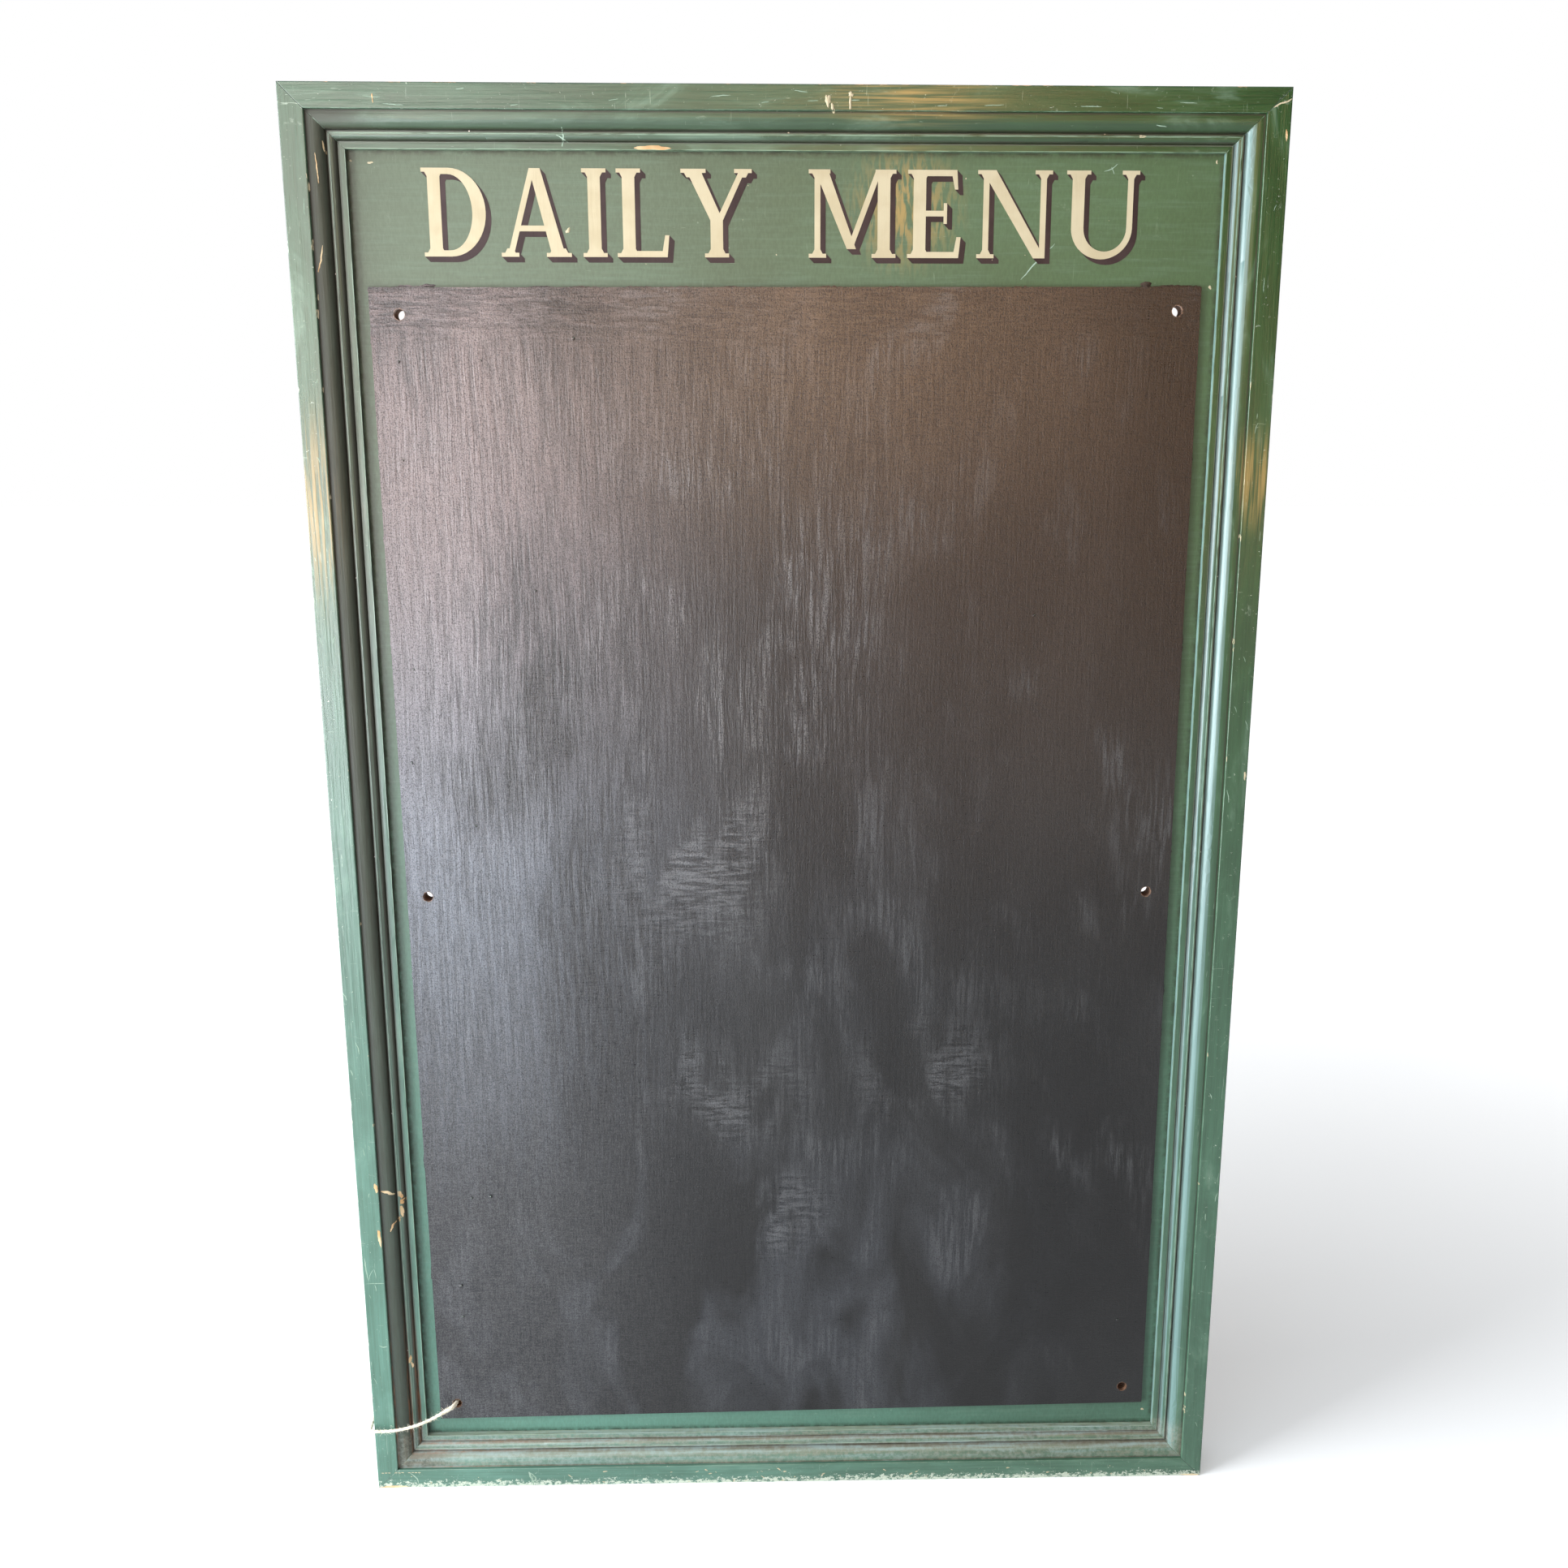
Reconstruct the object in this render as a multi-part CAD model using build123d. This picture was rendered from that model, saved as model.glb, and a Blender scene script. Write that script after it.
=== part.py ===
"""Framed menu chalkboard of painted softwood.

Four mitred rails stand on edge around a plywood panel. A planted moulding holds the panel from the
front, and stop battens with corner glue blocks hold it from behind. A thin hardboard writing sheet is
pinned to the panel, six holes through both take wall screws, and a twine tie is looped through the
lower left hole and around the stile.

Units are millimetres. The front faces -Y, +Z is up, and the origin is at the middle of the bottom edge.
"""

from build123d import *
import math
import os

# Driving dimensions of the board
BOARD_W = 775.0
BOARD_H = 1220.0
RAIL_FACE = 19.0
RAIL_DEPTH = 44.0
ARRIS_R = 0.8

# Panel and writing sheet. The sheet is cut and laid by hand, a little out of square, so it is
# given by its corners, as (x, z)
PANEL_RECESS = 19.0
PANEL_T = 12.0
SHEET_T = 3.0
SHEET_BOTTOM_LEFT = (-329.5, 61.5)
SHEET_BOTTOM_RIGHT = (332.0, 68.5)
SHEET_TOP_RIGHT = (329.5, 1075.5)
SHEET_TOP_LEFT = (-332.0, 1073.5)

# Holes for the wall screws, bored by hand, as (x, z)
WALL_HOLE_R = 4.25
WALL_HOLES = {
    "top_left": (-308.5, 1053.0),
    "top_right": (311.0, 1057.0),
    "middle_left": (-313.0, 572.5),
    "middle_right": (310.5, 573.0),
    "bottom_left": (-313.5, 77.5),
    "bottom_right": (312.5, 85.5),
}

# Planted moulding: distance in from the rail, and height over the panel
MOULD_W = 26.0
MOULD_HIGH = 16.1
OUTER_FILLET_W = 3.4
OVOLO_W = 9.6
OVOLO_FOOT = 10.0
QUIRK_W = 1.2
QUIRK_FLOOR = 8.2
MID_FILLET_W = 1.4
MID_FILLET_HIGH = 9.7
BEAD_W = 4.6
BEAD_HIGH = 9.1
BEAD_FOOT = 5.9
BEAD_QUIRK_W = 0.6
BEAD_QUIRK_FLOOR = 4.5
INNER_FILLET_HIGH = 5.3

# Stop battens and corner glue blocks behind the panel
BATTEN_W = 18.0
BATTEN_T = 12.0
BLOCK_LEG = 45.0

# Fasteners: radius and length of the shank, radius and height of the head
NAIL = (1.35, 50.0, 1.9, 1.6)
MOULD_PIN = (0.45, 18.0, 0.55, 0.5)
SHEET_PIN = (0.7, 12.5, 1.3, 0.6)
SCREW = (1.75, 30.0, 3.4, 2.4)
SCREW_SLOT_W = 0.9
SCREW_SLOT_DEPTH = 1.1
PIN_STAND = 0.25
NAIL_PAIR_SPREAD = 22.0
SHEET_PIN_INSET = 9.0
MOULD_PINS_LONG = 5
MOULD_PINS_SHORT = 3
SHEET_PINS_LONG = 6
SHEET_PINS_SHORT = 3
SCREWS_LONG = 4
SCREWS_SHORT = 3

# Twine tie
TWINE_D = 4.0
KNOT_W = 12.0
KNOT_DEPTH = 10.0

# Positions that follow from the driving dimensions
FRONT_Y = -RAIL_DEPTH / 2
PANEL_FRONT_Y = FRONT_Y + PANEL_RECESS
PANEL_BACK_Y = PANEL_FRONT_Y + PANEL_T
SHEET_FRONT_Y = PANEL_FRONT_Y - SHEET_T
CENTRE_Z = BOARD_H / 2
INNER_W = BOARD_W - 2 * RAIL_FACE
INNER_H = BOARD_H - 2 * RAIL_FACE
QUIRK_U = OUTER_FILLET_W + OVOLO_W

# How each side of a rectangle is turned from the top side
SIDE_ANGLE = {"top": 0, "right": 90, "bottom": 180, "left": -90}
RAIL_NAME = {
    "top": "frame_top_rail",
    "right": "frame_right_stile",
    "bottom": "frame_bottom_rail",
    "left": "frame_left_stile",
}


def side_length(side, width, height):
    """Length of one side of a width by height rectangle."""
    return width if side in ("top", "bottom") else height


def on_side(side, width, height):
    """Places a bar, drawn along X with its outer face at z = 0, on one side of a centred rectangle."""
    reach = side_length(side, height, width) / 2
    return Pos(0, 0, CENTRE_Z) * Rot(0, SIDE_ANGLE[side], 0) * Pos(0, 0, reach)


def spread(count, span):
    """Evenly spaced positions, centred on 0, with the end ones half a pitch inside the span."""
    pitch = span / count
    return [(i - (count - 1) / 2) * pitch for i in range(count)]


# ---------------------------------------------------------------- bars


def rail_section():
    """Rail on edge: a rectangle with softened front arrises, drawn in (y, -inward)."""
    face = Pos(0, -RAIL_FACE / 2) * Rectangle(RAIL_DEPTH, RAIL_FACE)
    front = face.vertices().sort_by(Axis.X)[:2]
    return fillet(front, ARRIS_R)


def moulding_section():
    """Outer fillet, ovolo, quirk, small fillet, bead, quirk and inner fillet, drawn in (y, -inward)."""

    def at(inward, high):
        return (PANEL_FRONT_Y - high, -inward)

    def quarter(inward, foot, width, rise):
        centre = at(inward, foot)
        return EllipticalCenterArc(centre, rise, width, start_angle=180, arc_size=90)

    mid_u = QUIRK_U + QUIRK_W
    bead_u = mid_u + MID_FILLET_W
    bead_end = bead_u + BEAD_W
    inner_u = bead_end + BEAD_QUIRK_W
    ovolo = quarter(OUTER_FILLET_W, OVOLO_FOOT, OVOLO_W, MOULD_HIGH - OVOLO_FOOT)
    bead = quarter(bead_u, BEAD_FOOT, BEAD_W, BEAD_HIGH - BEAD_FOOT)
    outer = Polyline(at(MOULD_W, 0), at(0, 0), at(0, MOULD_HIGH), at(OUTER_FILLET_W, MOULD_HIGH))
    middle = Polyline(
        at(QUIRK_U, OVOLO_FOOT),
        at(QUIRK_U, QUIRK_FLOOR),
        at(mid_u, QUIRK_FLOOR),
        at(mid_u, MID_FILLET_HIGH),
        at(bead_u, MID_FILLET_HIGH),
        at(bead_u, BEAD_HIGH),
    )
    inner = Polyline(
        at(bead_end, BEAD_FOOT),
        at(bead_end, BEAD_QUIRK_FLOOR),
        at(inner_u, BEAD_QUIRK_FLOOR),
        at(inner_u, INNER_FILLET_HIGH),
        at(MOULD_W, INNER_FILLET_HIGH),
        at(MOULD_W, 0),
    )
    return make_face(outer + ovolo + middle + bead + inner)


def mitred_bar(section, length, width):
    """The section run along X, with both ends cut at 45 degrees from the outer edge inwards."""
    bar = extrude(Plane.YZ * section, length / 2, both=True)
    half = length / 2
    outline = Polygon(
        (-half, 0), (half, 0), (half - width, -width), (width - half, -width), align=None
    )
    return bar & extrude(Plane.XZ * outline, RAIL_DEPTH, both=True)


def frame_rails():
    section = rail_section()
    return {
        RAIL_NAME[side]: on_side(side, BOARD_W, BOARD_H)
        * mitred_bar(section, side_length(side, BOARD_W, BOARD_H), RAIL_FACE)
        for side in SIDE_ANGLE
    }


def mouldings():
    section = moulding_section()
    return {
        f"moulding_{side}": on_side(side, INNER_W, INNER_H)
        * mitred_bar(section, side_length(side, INNER_W, INNER_H), MOULD_W)
        for side in SIDE_ANGLE
    }


def stop_battens():
    """Square-ended battens on the back of the panel, between the corner blocks."""
    battens = {}
    for side in SIDE_ANGLE:
        length = side_length(side, INNER_W, INNER_H) - 2 * BLOCK_LEG
        bar = Pos(0, PANEL_BACK_Y + BATTEN_T / 2, -BATTEN_W / 2) * Box(length, BATTEN_T, BATTEN_W)
        battens[f"stop_batten_{side}"] = on_side(side, INNER_W, INNER_H) * bar
    return battens


def corner_blocks():
    """Glue blocks in the four corners, whose square ends meet the battens."""
    outline = Polygon(
        (0, 0), (BLOCK_LEG, 0), (BLOCK_LEG, BATTEN_W), (BATTEN_W, BLOCK_LEG), (0, BLOCK_LEG), align=None
    )
    block = extrude(Plane.XZ * outline, -BATTEN_T)
    lower_left = Pos(-INNER_W / 2, PANEL_BACK_Y, -INNER_H / 2) * block
    lower_right = lower_left.mirror(Plane.YZ)
    up = Pos(0, 0, CENTRE_Z)
    return {
        "corner_block_bottom_left": up * lower_left,
        "corner_block_bottom_right": up * lower_right,
        "corner_block_top_left": up * lower_left.mirror(Plane.XY),
        "corner_block_top_right": up * lower_right.mirror(Plane.XY),
    }


# ---------------------------------------------------------------- panel and sheet


def wall_holes():
    """Cutters for the six wall-screw holes, through the sheet and the panel."""
    depth = PANEL_BACK_Y - SHEET_FRONT_Y
    hole = Rot(90, 0, 0) * Cylinder(WALL_HOLE_R, depth + 2)
    middle_y = (PANEL_BACK_Y + SHEET_FRONT_Y) / 2
    return [Pos(x, middle_y, z) * hole for x, z in WALL_HOLES.values()]


def back_panel():
    blank = Pos(0, PANEL_FRONT_Y + PANEL_T / 2, CENTRE_Z) * Box(INNER_W, PANEL_T, INNER_H)
    return blank - wall_holes()


def chalkboard_sheet():
    outline = Polygon(
        SHEET_BOTTOM_LEFT, SHEET_BOTTOM_RIGHT, SHEET_TOP_RIGHT, SHEET_TOP_LEFT, align=None
    )
    blank = Pos(0, PANEL_FRONT_Y, 0) * extrude(Plane.XZ * outline, SHEET_T)
    return blank - wall_holes()


# ---------------------------------------------------------------- fasteners


def nail(size):
    """A round nail or pin with a flat head, its top at the origin and its point down."""
    shank_r, length, head_r, head_h = size
    point = 2 * shank_r
    profile = Polyline(
        (0, 0), (head_r, 0), (head_r, -head_h), (shank_r, -head_h), (shank_r, point - length), (0, -length), (0, 0)
    )
    return revolve(Plane.XZ * make_face(profile), Axis.Z)


def wood_screw(size):
    """A countersunk screw with its top at the origin, before its slot is cut."""
    shank_r, length, head_r, head_h = size
    point = 3 * shank_r
    profile = Polyline(
        (0, 0), (head_r, 0), (shank_r, -head_h), (shank_r, point - length), (0, -length), (0, 0)
    )
    return revolve(Plane.XZ * make_face(profile), Axis.Z)


def screw_slot():
    """Cutter for the driver slot across a screw's head."""
    return Pos(0, 0, -SCREW_SLOT_DEPTH / 2) * Box(3 * SCREW[2], SCREW_SLOT_W, SCREW_SLOT_DEPTH)


def driven(point, direction):
    """Places a fastener with its head at the point, driven in the direction."""
    heading = Vector(*direction)
    return Plane(origin=point, z_dir=heading * -1).location


def mitre_nail_places():
    """Two nails at each corner, driven through the top or bottom rail into the stile."""
    x = BOARD_W / 2 - RAIL_FACE / 2
    return [
        driven((side * x, depth * NAIL_PAIR_SPREAD / 2, z), (0, 0, heading))
        for z, heading in ((BOARD_H, -1), (0, 1))
        for side in (-1, 1)
        for depth in (-1, 1)
    ]


def moulding_pin_places():
    """Pins in the quirk of each moulding, driven back into the panel."""
    places = []
    for side in SIDE_ANGLE:
        count = side_length(side, MOULD_PINS_SHORT, MOULD_PINS_LONG)
        for x in spread(count, side_length(side, INNER_W, INNER_H)):
            head = (x, PANEL_FRONT_Y - QUIRK_FLOOR, -(QUIRK_U + QUIRK_W / 2))
            places.append(on_side(side, INNER_W, INNER_H) * driven(head, (0, 1, 0)))
    return places


def sheet_pin_places():
    """Pins along the writing sheet's edges, their heads a paint film above it."""
    edges = (
        (SHEET_BOTTOM_LEFT, SHEET_BOTTOM_RIGHT, (0, 1), SHEET_PINS_SHORT),
        (SHEET_BOTTOM_RIGHT, SHEET_TOP_RIGHT, (-1, 0), SHEET_PINS_LONG),
        (SHEET_TOP_RIGHT, SHEET_TOP_LEFT, (0, -1), SHEET_PINS_SHORT),
        (SHEET_TOP_LEFT, SHEET_BOTTOM_LEFT, (1, 0), SHEET_PINS_LONG),
    )
    places = []
    for (start_x, start_z), (end_x, end_z), (in_x, in_z), count in edges:
        for i in range(count):
            along = (i + 0.5) / count
            x = start_x + along * (end_x - start_x) + in_x * SHEET_PIN_INSET
            z = start_z + along * (end_z - start_z) + in_z * SHEET_PIN_INSET
            places.append(driven((x, SHEET_FRONT_Y - PIN_STAND, z), (0, 1, 0)))
    return places


def batten_screw_places():
    """Screws through each stop batten, outwards into its rail."""
    places = []
    for side in SIDE_ANGLE:
        count = side_length(side, SCREWS_SHORT, SCREWS_LONG)
        for x in spread(count, side_length(side, INNER_W, INNER_H)):
            head = (x, PANEL_BACK_Y + BATTEN_T / 2, -BATTEN_W)
            places.append(on_side(side, INNER_W, INNER_H) * driven(head, (0, 0, 1)))
    return places


def group(solid, places):
    return [place * solid for place in places]


# ---------------------------------------------------------------- twine


def twine_points():
    """Route of the tie: out of the lower left hole, around the stile, and back to the knot behind."""
    hole_x, hole_z = WALL_HOLES["bottom_left"]
    knot_side_x = hole_x - KNOT_W / 2
    knot_y = PANEL_BACK_Y + KNOT_DEPTH / 2
    return [
        (hole_x, PANEL_BACK_Y, hole_z),
        (hole_x, -1.0, hole_z),
        (-315.5, -11.5, 77.9),
        (-324.5, -15.5, 74.6),
        (-338.0, -19.4, 68.6),
        (-353.0, -23.6, 65.2),
        (-368.0, -27.2, 63.8),
        (-381.0, -29.0, 63.3),
        (-393.3, -28.3, 63.9),
        (-394.0, -14.5, 65.6),
        (-393.6, 0.5, 67.3),
        (-394.1, 15.0, 68.7),
        (-392.4, 27.6, 70.1),
        (-379.0, 30.0, 71.4),
        (-362.0, 28.8, 73.4),
        (-346.0, 24.0, 76.0),
        (-331.5, knot_y, hole_z),
        (knot_side_x, knot_y, hole_z),
    ]


def bend_radii(points):
    """The largest arc that each corner's runs allow."""
    radii = []
    for before, here, after in zip(points, points[1:], points[2:]):
        run_in = Vector(*here) - Vector(*before)
        run_out = Vector(*after) - Vector(*here)
        half_turn = math.radians(run_in.get_angle(run_out) / 2)
        radii.append(0.45 * min(run_in.length, run_out.length) / math.tan(half_turn))
    return radii


def tie_twine():
    points = twine_points()
    radii = bend_radii(points)
    path = FilletPolyline(*points, radius=radii)
    start = Plane(origin=path @ 0, z_dir=path % 0)
    tube = sweep(start * Circle(TWINE_D / 2), path)
    section_volume = math.pi * (TWINE_D / 2) ** 2 * path.length
    print(f"twine: length {path.length:.1f}, volume {tube.volume:.1f} of {section_volume:.1f}")
    print("twine radii:", " ".join(f"{r:.1f}" for r in radii))
    return tube


def twine_knot():
    """Stopper knot against the panel's back, a rounded lump with flats where the twine enters."""
    lump = Box(KNOT_W, KNOT_DEPTH, KNOT_W)
    lump = chamfer(lump.edges(), KNOT_DEPTH / 4)
    hole_x, hole_z = WALL_HOLES["bottom_left"]
    return Pos(hole_x, PANEL_BACK_Y + KNOT_DEPTH / 2, hole_z) * lump


# ---------------------------------------------------------------- assembly


def assembly():
    """Every node's solids, with real bores where the fasteners run."""
    nails = group(nail(NAIL), mitre_nail_places())
    mould_pins = group(nail(MOULD_PIN), moulding_pin_places())
    sheet_pins = group(nail(SHEET_PIN), sheet_pin_places())
    screw_bores = group(wood_screw(SCREW), batten_screw_places())
    screws = group(wood_screw(SCREW) - screw_slot(), batten_screw_places())

    rails = {name: rail - nails - screw_bores for name, rail in frame_rails().items()}
    trims = {name: trim - mould_pins for name, trim in mouldings().items()}
    battens = {name: batten - screw_bores for name, batten in stop_battens().items()}
    nodes = {**rails, **trims, **battens, **corner_blocks()}
    nodes["back_panel"] = back_panel() - mould_pins - sheet_pins
    nodes["chalkboard_sheet"] = chalkboard_sheet() - sheet_pins
    nodes["mitre_nails"] = Compound(nails)
    nodes["moulding_pins"] = Compound(mould_pins)
    nodes["sheet_pins"] = Compound(sheet_pins)
    nodes["batten_screws"] = Compound(screws)
    nodes["tie_twine"] = tie_twine()
    nodes["twine_knot"] = twine_knot()
    return nodes


def main():
    os.makedirs("parts", exist_ok=True)
    for name, shape in assembly().items():
        export_step(shape, f"parts/{name}.step")


main()
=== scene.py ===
"""Looks of the framed menu chalkboard: camera, twine, paint, lettering, wear, lights and floor."""

import math
import random

import bpy
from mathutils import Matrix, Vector, noise
from mathutils.bvhtree import BVHTree
from mathutils.geometry import convex_hull_2d, delaunay_2d_cdt


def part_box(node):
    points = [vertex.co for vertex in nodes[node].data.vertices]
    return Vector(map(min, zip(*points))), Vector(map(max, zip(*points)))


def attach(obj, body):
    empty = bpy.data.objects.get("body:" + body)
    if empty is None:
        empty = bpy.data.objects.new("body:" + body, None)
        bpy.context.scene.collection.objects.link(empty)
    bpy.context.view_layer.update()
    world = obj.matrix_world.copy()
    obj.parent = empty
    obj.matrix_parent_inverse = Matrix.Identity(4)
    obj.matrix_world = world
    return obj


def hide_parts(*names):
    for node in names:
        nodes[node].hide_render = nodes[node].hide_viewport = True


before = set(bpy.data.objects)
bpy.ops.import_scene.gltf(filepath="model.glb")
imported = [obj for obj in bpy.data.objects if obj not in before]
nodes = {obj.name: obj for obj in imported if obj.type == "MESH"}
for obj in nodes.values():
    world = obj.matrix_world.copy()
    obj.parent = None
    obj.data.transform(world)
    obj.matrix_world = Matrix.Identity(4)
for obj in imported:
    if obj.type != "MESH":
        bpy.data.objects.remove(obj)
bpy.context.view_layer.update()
scene = bpy.context.scene
rng = random.Random(11)

# Sizes that the CAD nodes give, in metres
RAIL_LOW, RAIL_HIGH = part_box("frame_right_stile")
HALF_W = RAIL_HIGH.x
HEIGHT = RAIL_HIGH.z
RAIL_FACE = RAIL_HIGH.x - RAIL_LOW.x
FRONT_Y = RAIL_LOW.y
BACK_Y = RAIL_HIGH.y
PANEL_FRONT_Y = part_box("back_panel")[0].y
PANEL_BACK_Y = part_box("back_panel")[1].y
SHEET_FRONT_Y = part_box("chalkboard_sheet")[0].y
MOULD_W = HALF_W - RAIL_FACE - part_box("moulding_right")[0].x

# The sheet's corners and the hand-bored holes, as (x, z)
SHEET = [(-0.3295, 0.0615), (0.3320, 0.0685), (0.3295, 1.0755), (-0.3320, 1.0735)]
HOLES = [
    (-0.3085, 1.0530), (0.3110, 1.0570), (-0.3130, 0.5725),
    (0.3105, 0.5730), (-0.3135, 0.0775), (0.3125, 0.0855),
]
HOLE_R = 0.00425

# Places on the sheet that have been wiped and gone over: x, z and the reach along each
RUBBED = [
    (-0.06, 0.39, 0.10, 0.07), (0.12, 0.41, 0.08, 0.06), (-0.08, 0.60, 0.09, 0.10), (-0.02, 0.27, 0.07, 0.06),
]

# Lumps under the sheet's paint, over nail heads and grit, in millimetres: x, z and size
NAIL_HEADS = [
    (-311.4, 1016.8, 2.6), (-272.7, 289.2, 3.6), (-289.8, 287.8, 3), (-303.7, 199.8, 3.6),
    (-303.8, 168.1, 3.2), (-320.2, 690.5, 3), (-312.5, 940, 2), (-210, 835, 2.4), (204, 814, 2.6),
    (-314, 770, 2.2), (305, 156, 2.4), (-269, 635, 2.2), (-172, 1035, 3), (-246, 1018, 1.8),
    (-234.5, 234.4, 2), (-240.5, 195.6, 1.6),
]
LUMP_HEIGHT = 0.42  # of its width

# Runs of thicker paint on the sheet, as (x, z) in millimetres
RIDGES = [
    [(-248, 243.5), (-270, 241), (-288, 231), (-303, 221.5), (-306, 212)],
    [(-313.5, 212), (-310, 183), (-304, 166)],
    [(-233, 252), (-214, 257)],
]

# Places where a warm lamp's reflection is painted in gold on the green paint: x, z and the reach along each
LAMP_REFLECTION_PLACES = [
    (0.098, 1.210, 0.075, 0.022), (0.092, 1.135, 0.048, 0.050),
    (-0.378, 0.900, 0.030, 0.085), (0.378, 0.925, 0.030, 0.045),
]

# The tie's route, and its knot behind the lower left hole
TWINE_D = 0.004
TWINE_ROUTE = [
    (-0.3135, 0.0090, 0.0775),
    (-0.3135, -0.0010, 0.0775),
    (-0.3155, -0.0115, 0.0779),
    (-0.3245, -0.0155, 0.0746),
    (-0.3380, -0.0194, 0.0686),
    (-0.3530, -0.0236, 0.0652),
    (-0.3680, -0.0262, 0.0638),
    (-0.3802, -0.0262, 0.0633),
    (-0.3906, -0.0264, 0.0639),
    (-0.3904, -0.0142, 0.0656),
    (-0.3900, 0.0005, 0.0673),
    (-0.3904, 0.0144, 0.0687),
    (-0.3902, 0.0274, 0.0701),
    (-0.3780, 0.0286, 0.0714),
    (-0.3620, 0.0284, 0.0734),
    (-0.3460, 0.0240, 0.0760),
    (-0.3315, 0.0140, 0.0775),
    (-0.3195, 0.0140, 0.0775),
]


# ---- camera


CAMERA_PLACE = (-0.01395, -1.22404, 0.93956)
CAMERA_AIM = (0.02219, 0.97553, -0.21876)


def make_camera():
    data = bpy.data.cameras.new("camera")
    data.sensor_width = 36.0
    data.lens = 33.54
    data.shift_x, data.shift_y = -0.0141, 0.0031
    camera = bpy.data.objects.new("camera", data)
    scene.collection.objects.link(camera)
    camera.location = CAMERA_PLACE
    camera.rotation_mode = "QUATERNION"
    camera.rotation_quaternion = Vector(CAMERA_AIM).to_track_quat("-Z", "Y")
    scene.camera = camera


# ---- materials


class Value:
    """A value in a material's node tree. Arithmetic on it adds Math nodes."""

    def __init__(self, material, socket):
        self.material = material
        self.socket = socket

    def op(self, operation, *others):
        inputs = dict(enumerate((self, *others)))
        return self.material.value("ShaderNodeMath", inputs, operation=operation)

    def __add__(self, other):
        return self.op("ADD", other)

    def __sub__(self, other):
        return self.op("SUBTRACT", other)

    def __mul__(self, other):
        return self.op("MULTIPLY", other)

    def __abs__(self):
        return self.op("ABSOLUTE")

    def invert(self):
        """1 minus the value."""
        return self * -1.0 + 1.0

    def least(self, other):
        return self.op("MINIMUM", other)

    def most(self, other):
        return self.op("MAXIMUM", other)

    def root(self):
        return self.op("SQRT")

    def step(self, low, high):
        """Rises smoothly from 0 at low to 1 at high."""
        inputs = {"Value": self, "From Min": low, "From Max": high}
        return self.material.value("ShaderNodeMapRange", inputs, interpolation_type="SMOOTHSTEP")

    def fall(self, low, high):
        """Falls smoothly from 1 at low to 0 at high."""
        return self.step(low, high).invert()


class Material:
    """A material whose nodes are written as expressions on the object's own coordinates."""

    def __init__(self, name):
        self.data = bpy.data.materials.new(name)
        self.data.use_nodes = True
        self.tree = self.data.node_tree
        self.shader = self.tree.nodes["Principled BSDF"]
        self.position = self.value("ShaderNodeTexCoord", {}, "Object")
        self.x = self.part_of(self.position, "X")
        self.y = self.part_of(self.position, "Y")
        self.z = self.part_of(self.position, "Z")

    def value(self, kind, inputs, output=0, **settings):
        node = self.tree.nodes.new(kind)
        for key, setting in settings.items():
            setattr(node, key, setting)
        for key, given in inputs.items():
            if isinstance(given, Value):
                self.tree.links.new(given.socket, node.inputs[key])
            else:
                node.inputs[key].default_value = given
        return Value(self, node.outputs[output])

    def part_of(self, vector, axis):
        return self.value("ShaderNodeSeparateXYZ", {0: vector}, axis)

    def stretched(self, density, seed=0.0):
        """The position, in features per metre along each axis, or along all three."""
        if isinstance(density, float):
            density = (density,) * 3
        scaled = self.value("ShaderNodeVectorMath", {0: self.position, 1: density}, operation="MULTIPLY")
        shift = (seed, 2.3 * seed, 5.1 * seed)
        return self.value("ShaderNodeVectorMath", {0: scaled, 1: shift}, operation="ADD")

    def noise(self, density, detail=2.0, seed=0.0, warp=0.0, roughness=0.5):
        inputs = {
            "Vector": self.stretched(density, seed), "Scale": 1.0, "Detail": detail,
            "Roughness": roughness, "Distortion": warp,
        }
        return self.value("ShaderNodeTexNoise", inputs)

    def specks(self, density, size, seed=0.0):
        """Small round spots, one in some of the cells of a random grid."""
        vector = self.stretched(density, seed)
        distance = self.value("ShaderNodeTexVoronoi", {"Vector": vector, "Scale": 1.0}, "Distance")
        return distance.fall(size * 0.6, size)

    def mix(self, amount, first, second, blend="MIX"):
        inputs = {0: amount, 6: first, 7: second}
        return self.value("ShaderNodeMix", inputs, 2, data_type="RGBA", blend_type=blend, clamp_factor=True)

    def facing(self, axis):
        """How far the surface faces along an axis, from -1 to 1."""
        normal = self.value("ShaderNodeNewGeometry", {}, "True Normal")
        return self.part_of(normal, axis)

    def surface(self, colour, roughness, height=None, **constants):
        """Sets the shader. height is the relief in metres."""
        linked = {"Base Color": colour, "Roughness": roughness}
        if height is not None:
            bump = {"Height": height, "Strength": 1.0, "Distance": 1.0}
            linked["Normal"] = self.value("ShaderNodeBump", bump)
        for key, given in {**linked, **constants}.items():
            if isinstance(given, Value):
                self.tree.links.new(given.socket, self.shader.inputs[key])
            else:
                self.shader.inputs[key].default_value = given
        return self.data


def rgb(r, g, b):
    return (r, g, b, 1.0)


def edge_distances(m):
    """How far in from the board's side edges and from its top or bottom edge."""
    return abs(m.x) * -1.0 + HALF_W, m.z.least(m.z * -1.0 + HEIGHT)


def along(axis, fine, coarse=10.0):
    """Densities for strokes that run along an axis."""
    return (coarse, fine, fine) if axis == "X" else (fine, fine, coarse)


def nearness(first, second, reach):
    """1 on the line where both distances are 0, falling to 0 at reach."""
    return (first * first + second * second).root().fall(0.0, reach)


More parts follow.
